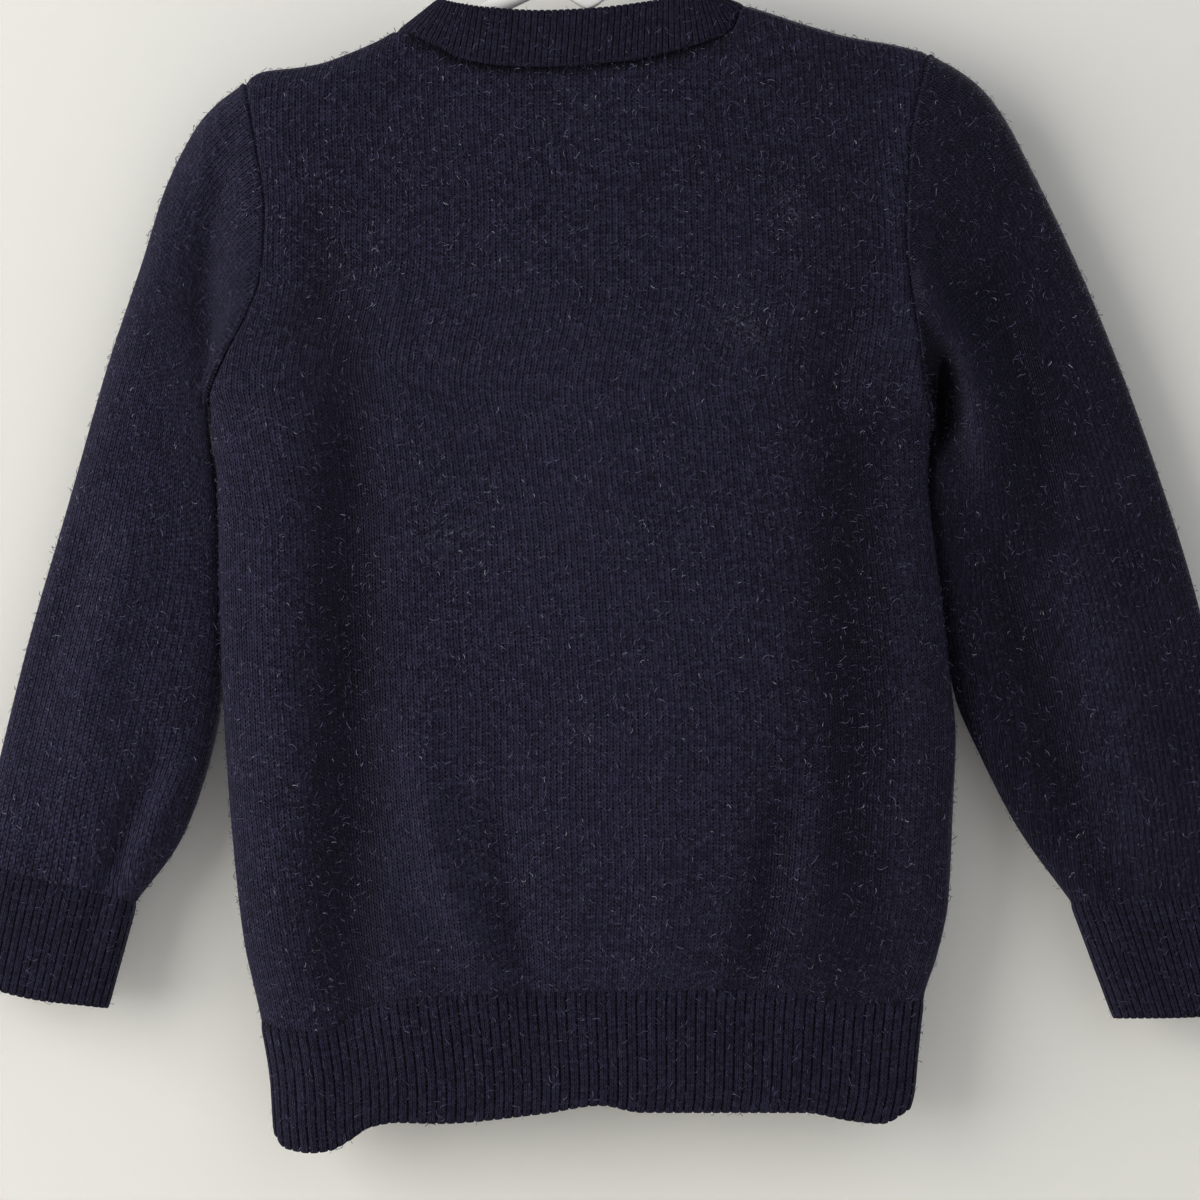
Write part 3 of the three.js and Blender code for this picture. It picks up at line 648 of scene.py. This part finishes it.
# ---- writing node trees
class Tree:
    """Adds nodes to a tree. A value given for an input is a socket to link or a plain value."""

    def __init__(self, tree):
        self.tree = tree

    def node(self, kind, inputs=None, **settings):
        """Adds a node, whose kind is given without its prefix."""
        whole = (prefix + kind for prefix in ("ShaderNode", "GeometryNode", "FunctionNode"))
        node = self.tree.nodes.new(next(name for name in whole if hasattr(bpy.types, name)))
        for name, value in settings.items():
            setattr(node, name, value)
        return self.fill(node, inputs or {})

    def add(self, kind, inputs=None, **settings):
        """Adds a node and gives its first output."""
        return self.node(kind, inputs, **settings).outputs[0]

    def fill(self, node, inputs):
        for name, value in inputs.items():
            self.set(node.inputs[name], value)
        return node

    def set(self, socket, value):
        if isinstance(value, bpy.types.NodeSocket):
            self.tree.links.new(value, socket)
        else:
            socket.default_value = value

    def math(self, operation, a, b=0.0, c=0.0):
        return self.add("Math", {0: a, 1: b, 2: c}, operation=operation)

    def times(self, a, b, plus=0.0):
        return self.math("MULTIPLY_ADD", a, b, plus)

    def vector(self, x=0.0, y=0.0, z=0.0):
        return self.add("CombineXYZ", {0: x, 1: y, 2: z})

    def scaled(self, vector, amount):
        return self.add("VectorMath", {0: vector, "Scale": amount}, operation="SCALE")

    def noise(self, vector, scale, detail=2.0, rough=0.5):
        return self.add("TexNoise", {
            "Vector": vector, "Scale": scale, "Detail": detail, "Roughness": rough})

    def wander(self, scale, amount, **inputs):
        """A shift about nought that changes from place to place."""
        noise = self.node("TexNoise", {"Scale": scale, **inputs}).outputs["Color"]
        centred = self.add("VectorMath", {0: noise, 1: (0.5, 0.5, 0.5)},
                           operation="SUBTRACT")
        return self.scaled(centred, amount)

    def spread(self, value, low, high, to_low=0.0, to_high=1.0):
        """A value between low and high, carried over to a new range and held there."""
        inputs = dict(enumerate((value, low, high, to_low, to_high)))
        return self.add("MapRange", inputs, interpolation_type="SMOOTHSTEP")

    def blend(self, factor, a, b):
        return self.node("Mix", {0: factor, 6: a, 7: b}, data_type="RGBA").outputs[2]

    def bump(self, height, distance, strength):
        return self.add("Bump", {
            "Height": height, "Distance": distance, "Strength": strength})

    def shader_layer(self, name):
        return self.node("Attribute", attribute_name=name).outputs["Fac"]

    def mesh_layer(self, name):
        return self.add("InputNamedAttribute", {"Name": name})


def new_tree(name, kind, inputs, outputs):
    """A group of nodes, what it is given, and the node for its results; each socket's kind
    follows its name, unless it is a plain number."""
    tree = bpy.data.node_groups.new(name, kind)
    for direction, words in (("INPUT", inputs), ("OUTPUT", outputs)):
        for word in words.split():
            label, _, value = word.partition(":")
            tree.interface.new_socket(label, in_out=direction,
                                      socket_type="NodeSocket" + (value or "Float"))
    given = tree.nodes.new("NodeGroupInput").outputs
    return Tree(tree), given, tree.nodes.new("NodeGroupOutput")


# ---- shared effects
def knit_stitch_group():
    """Rows of V stitches from counts of wales and courses: their height, and their hollows, which
    the wool's colour darkens as painted shade.
    """
    t, given, put = new_tree("knit_stitch", "ShaderNodeTree",
                             "Stitches:Vector Place:Vector Wander", "Height Hollow Loop")
    shift = t.wander(210.0, given["Wander"], Vector=given["Place"])
    moved = t.add("VectorMath", {0: given["Stitches"], 1: shift})
    wale, course, _ = t.node("SeparateXYZ", {0: moved}).outputs
    from_middle = t.math("ABSOLUTE", t.math("SUBTRACT", t.math("FRACT", wale), 0.5))
    leg_place = t.times(t.math("FRACT", course), 0.25, 0.125)
    off_leg = t.math("DIVIDE", t.math("SUBTRACT", from_middle, leg_place), 0.2)
    height = t.math("MAXIMUM", t.math("SUBTRACT", 1.0, t.times(off_leg, off_leg)), 0.0)
    cell = t.vector(t.math("FLOOR", wale), t.math("FLOOR", course))
    loop = t.node("TexWhiteNoise", {"Vector": cell}, noise_dimensions="2D")
    chance = t.node("SeparateColor", {0: loop.outputs["Color"]}).outputs
    depth = t.times(t.spread(from_middle, 0.2, 0.36), 0.65, 0.35)
    depth = t.times(depth, t.spread(chance[1], 0.0, 0.6, 0.45, 1.0))
    hollow = t.times(t.spread(height, 0.85, 0.1), depth)
    t.fill(put, {"Height": height, "Hollow": hollow, "Loop": chance[0]})
    return t.tree


FELTED = (0.15, 0.15, 0.21, 1)


def wool_tone_group():
    """Dark wool's colour: heather, wear and felted flecks paler; painted shade in hollows, grooves
    and troughs, painted highlight on ridges.
    """
    t, given, put = new_tree(
        "wool_tone", "ShaderNodeTree",
        "Place:Vector Hollow Loop Lint Worn Wool:Color Pale:Color Dark:Color",
        "Color:Color Fluff Fibre")
    place, worn, pale, dark = (given[name] for name in ("Place", "Worn", "Pale", "Dark"))
    broad = t.spread(t.noise(place, 14.0, 4.0, 0.6), 0.36, 0.66)
    heather = t.spread(t.noise(place, 640.0, 3.0, 0.7), 0.45, 0.62)
    fibre = t.noise(place, 1300.0, 3.0, 0.7)
    fine = t.spread(fibre, 0.47, 0.66)
    # Painted shade where the layer is low; wear and painted highlight where it is high.
    painted_shade = t.spread(worn, 0.55, 0.0)
    more = t.spread(worn, 0.45, 1.0)
    colour = t.blend(t.times(painted_shade, 0.8), given["Wool"], dark)
    colour = t.blend(t.times(more, 0.16, t.times(broad, 0.08)), colour, pale)
    mixed = t.times(t.spread(given["Loop"], 0.3, 0.95), 0.3, t.times(heather, 0.36))
    # Pale heather fibres show less where shade is painted.
    mixed = t.times(t.times(fine, 0.34, mixed), t.times(painted_shade, -0.72, 1.0))
    colour = t.blend(mixed, colour, pale)
    felt = t.noise(place, 420.0, 5.0, 0.8)
    fluff = t.spread(t.math("SUBTRACT", felt, t.times(given["Lint"], -0.23, 0.68)), 0.0, 0.1)
    # Painted shade in the stitch hollows and rib grooves, less where fluff covers them.
    colour = t.blend(t.times(given["Hollow"], t.times(fluff, -0.5, 1.0)), colour, dark)
    colour = t.blend(t.times(t.times(fluff, fine), 0.85), colour, FELTED)
    colour = t.blend(t.spread(worn, 0.0, -0.6), colour, dark)      # painted shade: the layer goes below 0 in the underarm hollow and the neckband groove
    t.fill(put, {"Color": colour, "Fluff": fluff, "Fibre": fibre})
    return t.tree


KNIT_STITCH = knit_stitch_group()
WOOL_TONE = wool_tone_group()


# ---- materials
WOOL_SHEEN = (0.62, 0.6, 1.0, 1)


def new_material(name):
    """A material, its tree, its shader and the place on the object."""
    material = bpy.data.materials.new(name)
    material.use_nodes = True
    t = Tree(material.node_tree)
    shader = next(n for n in t.tree.nodes if n.type == "BSDF_PRINCIPLED")
    return material, t, shader, t.node("TexCoord").outputs["Object"]


def wool_material(name, wool, pale, dark, stitch_depth, wander, ribbed=False):
    """Knitted wool: V stitches on the piece's own stitch counts, fibres and flecks all over."""
    material, t, shader, place = new_material(name)
    counts = t.add("UVMap", uv_map="stitches")
    knit = t.node("Group", {"Stitches": counts, "Place": place, "Wander": wander},
                  node_tree=KNIT_STITCH).outputs
    hollow = knit["Hollow"]
    if ribbed:
        # Painted shade in the rib grooves, broken along them, and lightly along each rib's middle
        # between its two wales.
        from_groove = t.math("PINGPONG", t.shader_layer("rib"), 0.5)
        broken = t.spread(t.noise(place, 170.0, 3.0), 0.3, 0.68, 0.4, 1.0)
        groove = t.times(t.spread(from_groove, 0.19, 0.04), broken)
        middle = t.spread(from_groove, 0.43, 0.5, 0.0, 0.35)
        hollow = t.math("MAXIMUM", hollow, t.math("MAXIMUM", groove, middle))
    tone = t.node("Group", {
        "Place": place, "Hollow": hollow, "Loop": knit["Loop"], "Lint": t.shader_layer("lint"),
        "Worn": t.shader_layer("worn"), "Wool": wool, "Pale": pale, "Dark": dark},
        node_tree=WOOL_TONE).outputs
    height = t.times(tone["Fluff"], 0.5, t.times(tone["Fibre"], 0.55, knit["Height"]))
    t.fill(shader, {
        "Base Color": tone["Color"], "Roughness": t.spread(tone["Fibre"], 0.3, 0.7, 0.85, 1.0),
        "Normal": t.bump(height, stitch_depth * MM, 1.0), "Specular IOR Level": 0.12,
        "Sheen Weight": 0.07, "Sheen Roughness": 0.35, "Sheen Tint": WOOL_SHEEN})
    return material


def fibre_material(name, low, high):
    """Loose fibres, paler and darker from one to the next."""
    material, t, shader, place = new_material(name)
    t.fill(shader, {
        "Base Color": t.blend(t.spread(t.noise(place, 400.0), 0.35, 0.65), low, high),
        "Roughness": t.spread(t.noise(place, 900.0), 0.3, 0.7, 0.8, 1.0),
        "Specular IOR Level": 0.1, "Sheen Weight": 0.2, "Sheen Tint": WOOL_SHEEN})
    return material


def plastic_material():
    """Satin white plastic with a moulded skin, faintly dulled along the arms."""
    material, t, shader, place = new_material("hanger_plastic")
    mottle = t.spread(t.noise(place, 24.0, 3.0), 0.35, 0.7)
    scuff = t.spread(t.noise(place, 150.0, 5.0, 0.7), 0.6, 0.78)
    colour = t.blend(mottle, (0.80, 0.79, 0.76, 1), (0.72, 0.71, 0.68, 1))
    t.fill(shader, {
        "Base Color": t.blend(t.times(scuff, 0.35), colour, (0.56, 0.55, 0.52, 1)),
        "Roughness": t.times(scuff, 0.22, 0.34), "IOR": 1.49,
        "Normal": t.bump(t.noise(place, 1400.0, 3.0, 0.6), 0.08 * MM, 0.35)})
    return material


# Each wool's third colour is the painted shade for its hollows, troughs and grooves.
WOOL_KNIT = wool_material("wool_knit", (0.0070, 0.0060, 0.0182, 1), (0.050, 0.046, 0.095, 1),
                          (0.0003, 0.0002, 0.0020, 1), 1.3, 0.34)
WOOL_RIB = wool_material("wool_rib", (0.0064, 0.0054, 0.0160, 1), (0.041, 0.038, 0.081, 1),
                         (0.0004, 0.0003, 0.0022, 1), 0.75, 0.24, ribbed=True)
WOOL_FUZZ = fibre_material("wool_fuzz", (0.010, 0.009, 0.023, 1), (0.085, 0.081, 0.135, 1))
PALE_LINT = fibre_material("pale_lint", (0.06, 0.06, 0.09, 1), (0.24, 0.24, 0.30, 1))
SEAM_YARN = fibre_material("seam_yarn", (0.007, 0.006, 0.016, 1), (0.022, 0.020, 0.042, 1))
PLASTIC = plastic_material()


# ---- geometry trees
def geometry_tree(name, inputs):
    return new_tree(name, "GeometryNodeTree",
                    "Geometry:Geometry " + inputs + " Material:Material", "Geometry:Geometry")


def finish_tree(t, given, put, geometry):
    realized = t.add("RealizeInstances", {"Geometry": geometry})
    painted = t.add("SetMaterial", {
        "Geometry": realized, "Material": given["Material"]})
    t.fill(put, {"Geometry": painted})
    return t.tree


def ribbing_tree():
    """Raises each rib between narrow grooves; the inner face rises between the outer ribs."""
    t, given, put = geometry_tree("ribbing", "Depth Groove")
    half_on = t.times(t.mesh_layer("outside"), -0.5, 0.5)
    from_groove = t.math("PINGPONG", t.math("SUBTRACT", t.mesh_layer("rib"), half_on), 0.5)
    crown = t.spread(from_groove, 0.0, given["Groove"])
    belly = t.math("SINE", t.times(from_groove, math.pi))
    profile = t.times(crown, 0.8, t.times(belly, 0.2))
    rise = t.times(t.times(profile, t.mesh_layer("rib_fade")), given["Depth"])
    normal = t.add("InputNormal")
    moved = t.add("SetPosition", {
        "Geometry": given["Geometry"], "Offset": t.scaled(normal, rise)})
    return finish_tree(t, given, put, moved)


def random_value(t, low, high, seed):
    node = t.node("RandomValue")
    ends = [socket for socket in node.inputs if socket.enabled]
    t.set(ends[0], low)
    t.set(ends[1], high)
    t.set(node.inputs["Seed"], seed)
    return next(socket for socket in node.outputs if socket.enabled)


def fibres_tree():
    """Scatters short bent fibres, as narrow ribbons, over a face of the cloth."""
    t, given, put = geometry_tree("loose_fibres", "Density Length Width Stand Curl Seed:Int")
    seed, length, width = given["Seed"], given["Length"], given["Width"]
    scatter = t.node("DistributePointsOnFaces", {
        "Mesh": given["Geometry"], "Seed": seed,
        "Density": t.times(given["Density"], t.mesh_layer("fibres"))},
        distribute_method="RANDOM").outputs
    arch = t.add("CurveQuadraticBezier", {
        "Resolution": 3, "Start": (-0.5, 0.0, 0.0), "Middle": (0.1, 0.35, 0.3),
        "End": (0.5, -0.1, 0.05)})
    grown = t.add("Transform", {
        "Geometry": arch, "Scale": t.vector(length, length, length)})
    edge = t.add("CurvePrimitiveLine", {
        "Start": t.vector(t.times(width, 0.5)), "End": t.vector(t.times(width, -0.5))})
    ribbon = t.add("CurveToMesh", {"Curve": grown, "Profile Curve": edge})
    placed = t.add("InstanceOnPoints", {
        "Points": scatter["Points"], "Instance": ribbon, "Rotation": scatter["Rotation"],
        "Scale": random_value(t, 0.45, 1.5, seed)})
    roll, lean, turn = (
        random_value(t, low, high, t.math("ADD", seed, after))
        for after, low, high in ((2.0, -1.2, 1.2), (3.0, -1.0, 1.0), (4.0, 0.0, math.tau)))
    turned = t.add("RotateInstances", {
        "Instances": placed, "Rotation": t.vector(roll, t.times(given["Stand"], lean), turn)})
    loose = t.add("RealizeInstances", {"Geometry": turned})
    moved = t.add("SetPosition", {
        "Geometry": loose, "Offset": t.wander(520.0, given["Curl"], Detail=1.0)})
    return finish_tree(t, given, put, moved)


def linking_tree():
    """Small loops of yarn laid one after another along a path."""
    t, given, put = geometry_tree("linking_stitches", "Pitch Thick Long Slant")
    thick = given["Thick"]
    path = t.add("MeshToCurve", {"Mesh": given["Geometry"]})
    steps = t.add("ResampleCurve", {"Curve": path, "Length": given["Pitch"]}, mode="LENGTH")
    loop = t.add("MeshUVSphere", {"Segments": 6, "Rings": 4, "Radius": 1.0})
    size = t.vector(thick, thick, given["Long"])
    squeezed = t.add("Transform", {"Geometry": loop, "Scale": size})
    facing = t.add("AlignRotationToVector", {"Vector": t.add("InputTangent")}, axis="Z")
    placed = t.add("InstanceOnPoints", {"Points": steps, "Instance": squeezed, "Rotation": facing})
    turned = t.add("RotateInstances", {
        "Instances": placed, "Rotation": t.vector(0.0, given["Slant"])})
    return finish_tree(t, given, put, turned)


def grow(source, tree, name, values, keep_source=False):
    """The plain mesh that a tree makes of an object, under a new name."""
    modifier = source.modifiers.new("grow", "NODES")
    modifier.node_group = tree
    for item in tree.interface.items_tree:
        if item.in_out == "INPUT" and item.name in values:
            modifier[item.identifier] = values[item.name]
    mesh = evaluated_mesh(source)
    source.modifiers.remove(modifier)
    mesh.name = name
    if not keep_source:
        bpy.data.objects.remove(source)
    return add_object(name, mesh)


RIBBING = ribbing_tree()
LOOSE_FIBRES = fibres_tree()
LINKING = linking_tree()


# ---- camera, light and stage
CAMERA_FAR = 1.6  # metres from the outline of the cloth
FRAME_WIDE = 0.48  # metres of cloth across the frame
LOOK_AT = (0.004, 0.004, -0.318)
DAYLIGHT = (0.93, 0.95, 1.0)
LIT_PLACE = Vector((0, 0, -0.3))
LIGHTS = [  # name, place and width in metres, power, colour
    ("window", (-1.75, -1.3, -0.05), 2.1, 47, (1.0, 0.985, 0.95)),
    ("fill", (1.0, -2.2, 0.3), 1.8, 5, DAYLIGHT),
    ("behind", (0.9, 1.9, 0.5), 1.8, 65, (1.0, 0.99, 0.97))]
ROOM_HALF = 3000  # millimetres, for the floor and the wall
FLOOR_Z = -750
WALL_Y = 35
WALL_TOP = 1600


def make_camera():
    data = bpy.data.cameras.new("camera")
    data.sensor_width = 36.0
    data.lens = data.sensor_width * CAMERA_FAR / FRAME_WIDE
    camera = add_object("camera", data)
    camera.location = (LOOK_AT[0], LOOK_AT[1] - CAMERA_FAR, LOOK_AT[2])
    camera.rotation_euler = (math.pi / 2, 0, 0)
    bpy.context.scene.camera = camera


def light_the_room():
    world = bpy.data.worlds.new("room")
    bpy.context.scene.world = world
    world.use_nodes = True
    background = world.node_tree.nodes["Background"]
    background.inputs["Color"].default_value = DAYLIGHT + (1,)
    background.inputs["Strength"].default_value = 0.46
    for name, place, size, power, colour in LIGHTS:
        data = bpy.data.lights.new(name, "AREA")
        data.shape = "DISK"
        data.size = size
        data.energy = power
        data.color = colour
        light = add_object(name, data)
        light.location = place
        aim = LIT_PLACE - Vector(place)
        light.rotation_euler = aim.to_track_quat("-Z", "Y").to_euler()
    bpy.context.scene.view_settings.view_transform = "Standard"


def stage_material(name, colour, one_sided):
    material, t, shader, place = new_material(name)
    tone = t.spread(t.noise(place, 2.0), 0.3, 0.7)
    darker = tuple(c * 0.97 for c in colour) + (1,)
    t.fill(shader, {"Base Color": t.blend(tone, colour + (1,), darker), "Roughness": 0.9})
    if one_sided:           # clear from behind, and daylight reaches the hidden front too
        back = t.node("NewGeometry").outputs["Backfacing"]
        shadow_ray = t.node("LightPath").outputs["Is Shadow Ray"]
        both = t.add("MixShader", {
            0: t.math("MAXIMUM", back, shadow_ray), 1: shader.outputs[0],
            2: t.add("BsdfTransparent")})
        output = next(n for n in t.tree.nodes if n.type == "OUTPUT_MATERIAL")
        t.fill(output, {"Surface": both})
    return material


def stage_plane(name, low, high, place, material):
    """A flat square: low and high run from side to side, and place sets them in the room."""
    corners = [place(-ROOM_HALF, low), place(ROOM_HALF, low), place(ROOM_HALF, high),
               place(-ROOM_HALF, high)]
    return paint(mesh_object(name, corners, [(0, 1, 2, 3)]), material)


def make_stage():
    stage_plane("floor", -ROOM_HALF, ROOM_HALF, lambda x, y: (x, y, FLOOR_Z),
                    stage_material("pale_floor", (0.62, 0.61, 0.58), False))
    stage_plane("wall", FLOOR_Z, WALL_TOP, lambda x, z: (x, WALL_Y, z),
                    stage_material("pale_wall", (0.76, 0.75, 0.71), True))


# ---- the hanger
HUB = (0, -63.6)
LEFT_ARM = [HUB, (-35, -80), (-58, -92.6), (-75, -101.6), (-100, -111), (-125, -119),
            (-142, -126)]
RIGHT_ARM = [HUB, (24, -74.6), (45, -85.4), (61, -92.6), (84, -99.4), (120, -109.4),
             (148, -119.5)]
COLLAR = [(0, -68.0), (0, -62.0), (0, -56.0)]
ARM_TUBE = 3.75  # radii
COLLAR_TUBE = ARM_TUBE + 0.9
HOOK_TUBE = 3
HOOK_INSIDE = 16
GUSSET = [(-19, -71), (-4, -81.2), (-1, -82.6), (2.5, -81.2), (17, -70), (4, -58), (-4, -58)]
GUSSET_HALF = 2.6
MERGE_CELL = 0.8  # size of the cells in which the hanger's parts become one skin


def rounded_path(points, count):
    """Evenly placed points on a smooth curve through the given ones."""
    points = np.array(points, float)
    ends = np.vstack([2 * points[0] - points[1], points, 2 * points[-1] - points[-2]])
    t = np.linspace(0, 1, count, endpoint=False)[:, None]
    path = [0.5 * (2 * b + (c - a) * t + (2 * a - 5 * b + 4 * c - d) * t ** 2
                   + (3 * b - a - 3 * c + d) * t ** 3)
            for a, b, c, d in zip(ends, ends[1:], ends[2:], ends[3:])]
    return np.vstack(path + [points[-1]])


def rod(name, path, radius, sides=20):
    """A round rod in the XZ plane with rounded ends."""
    tangent = np.gradient(path, axis=0)
    tangent /= np.linalg.norm(tangent, axis=1, keepdims=True)
    across = np.stack([-tangent[:, 1], tangent[:, 0]], axis=1)

    def cap(end, sign, bulge):
        middle = path[end] + sign * tangent[end] * radius * bulge
        return middle, across[end], radius * math.sqrt(1 - bulge ** 2)

    rings = [cap(0, -1, bulge) for bulge in (0.9, 0.6, 0.25)]
    rings += [(p, a, radius) for p, a in zip(path, across)]
    rings += [cap(-1, 1, bulge) for bulge in (0.25, 0.6, 0.9)]
    points = []
    for middle, side, size in rings:
        for angle in np.linspace(0, math.tau, sides, endpoint=False):
            flat = middle + side * size * math.cos(angle)
            points.append((flat[0], size * math.sin(angle), flat[1]))
    count = len(rings)
    faces = [list(range(sides))[::-1], list(range((count - 1) * sides, count * sides))]
    faces += grid_faces(count, sides, True, 1).tolist()
    return mesh_object(name, points, faces)


def gusset_plate():
    """The web in the fork of the two arms, with its small downward point."""
    points = [(x, y, z) for y in (-GUSSET_HALF, GUSSET_HALF) for x, z in GUSSET]
    n = len(GUSSET)
    faces = [tuple(range(n)), tuple(range(2 * n - 1, n - 1, -1))]
    faces += [(k, n + k, n + (k + 1) % n, (k + 1) % n) for k in range(n)]
    return mesh_object("gusset", points, faces)


def paint(obj, material):
    obj.data.materials.clear()
    obj.data.materials.append(material)
    return obj


def make_hanger():
    bend = HOOK_INSIDE + HOOK_TUBE
    degrees = np.radians(np.arange(195, -46, -15))
    hook = [(bend * math.cos(a), -HOOK_INSIDE + bend * math.sin(a)) for a in degrees]
    hook += [(3, -40), (0, -48), HUB]
    parts = [
        rod("arm_left", rounded_path(LEFT_ARM, 8), ARM_TUBE),
        rod("arm_right", rounded_path(RIGHT_ARM, 8), ARM_TUBE),
        rod("hook", rounded_path(hook, 4), HOOK_TUBE),
        rod("collar", np.array(COLLAR), COLLAR_TUBE),
        gusset_plate(),
    ]
    rough = parts[0]
    with bpy.context.temp_override(active_object=rough, selected_editable_objects=parts,
                                   selected_objects=parts):
        bpy.ops.object.join()
    merge = rough.modifiers.new("merge", "REMESH")
    merge.mode = "VOXEL"
    merge.voxel_size = MERGE_CELL * MM
    soften = rough.modifiers.new("soften", "SMOOTH")
    soften.factor = 0.5
    soften.iterations = 6
    mesh = evaluated_mesh(rough)
    bpy.data.objects.remove(rough)
    mesh.shade_smooth()
    return paint(add_object("hanger_moulding", mesh), PLASTIC)


# ---- making everything
make_camera()
light_the_room()
make_stage()

RIB_ROWS = 20  # rows of cells down the hem and cuffs, and cuts in their coarse steps
RIB_FINER = 24
BAND_ROWS = 14


def ribbed(name, grid, turn, pitch, depth):
    """A ribbed piece whose ribs are this far apart and stand this high."""
    made = grow(ribbed_piece("flat", grid, turn, pitch), RIBBING, "ribbed_" + name, {
        "Depth": depth * MM, "Groove": 0.15, "Material": WOOL_RIB})
    made.data.shade_smooth()
    return made


# Each piece of cloth, the solid that it stands for, its cut's flat width, length and area in
# metres, and its fuzz in fibres a square metre.
SHEETS = [
    (body_panel("knit_back", -1), "back_panel", 0.32, 0.41, 0.110, 130000),
    (body_panel("knit_front", 1), "front_panel", 0.32, 0.41, 0.107, 60000),
    (sleeve_piece("left", -1), "sleeve_left", 0.27, 0.33, 0.047, 100000),
    (sleeve_piece("right", 1), "sleeve_right", 0.30, 0.36, 0.060, 90000),
    (ribbed("hem", hem_grid(RIB_ROWS, RIB_FINER), -1, 4.0, 0.75),
     "hem_rib", 0.56, 0.050, 0.0262, 60000),
    (ribbed("cuff_left", cuff_grid("left", RIB_ROWS, RIB_FINER), -1, 3.3, 0.7),
     "cuff_left", 0.15, 0.050, 0.0067, 60000),
    (ribbed("cuff_right", cuff_grid("right", RIB_ROWS, RIB_FINER), 1, 3.3, 0.7),
     "cuff_right", 0.15, 0.050, 0.0071, 60000),
    (ribbed("neckband", neckband_grid(BAND_ROWS, RIB_FINER), 1, 2.55, 0.6),
     "neckband", 0.30, 0.022, 0.0055, 60000)]
KNIT = [row[0] for row in SHEETS[:4]]
RIBS = [row[0] for row in SHEETS[4:]]
for cloth in KNIT:
    paint(cloth, WOOL_KNIT)
hanger = make_hanger()

SEAM_ROW = 2  # the sleeve's row that the linking stitches follow, and their lift
SEAM_LIFT = 0.55


def armhole_stitches(arm, turn):
    grid = sleeve_grid(arm, FINER)
    points = grid[SEAM_ROW] + outward_of(grid, True, turn)[SEAM_ROW] * SEAM_LIFT
    points = np.vstack([points, points[:1]])
    edges = [(i, i + 1) for i in range(len(points) - 1)]
    return grow(mesh_object("path_" + arm, points, [], edges), LINKING, "linking_" + arm, {
        "Pitch": 1.75 * MM, "Thick": 0.3 * MM, "Long": 0.85 * MM, "Slant": 0.45,
        "Material": SEAM_YARN})


linking = [armhole_stitches("left", -1), armhole_stitches("right", 1)]

FUZZ_SEED = 11
LINT_SEED = 31
FUZZ = {"Length": 2.9 * MM, "Width": 0.17 * MM, "Stand": 1.1, "Curl": 1.2 * MM,
        "Material": WOOL_FUZZ}
LINT = {"Length": 1.5 * MM, "Width": 0.15 * MM, "Stand": 0.25, "Curl": 1.6 * MM,
        "Material": PALE_LINT}


def loose_fibres(kind, sheets, look, first_seed, share, base, on_lint):
    """Fibres over the outside of each sheet, a share of its fuzz, and more where it is felted."""
    made = []
    for seed, (cloth, *_, density) in enumerate(sheets, first_seed):
        outside = get_layer(cloth, "outside") > 0.5
        set_layer(cloth, "fibres", outside * (base + on_lint * get_layer(cloth, "lint")))
        name = kind + "_" + cloth.name.split("_", 1)[1]
        values = {"Density": density * share, "Seed": seed, **look}
        made.append(grow(cloth, LOOSE_FIBRES, name, values, keep_source=True))
    return made


fuzz = loose_fibres("fuzz", SHEETS, FUZZ, FUZZ_SEED, 1, 1.0, 0.6)
lint = loose_fibres("lint", SHEETS[:4], LINT, LINT_SEED, 0.35, 0.3, 1.6)

# ---- how each piece sits in the frame
for cloth, node, *_ in SHEETS:
    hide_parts(node)
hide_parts("hanger")
for piece in KNIT + linking + RIBS + fuzz + lint + [hanger]:
    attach(piece, "root")
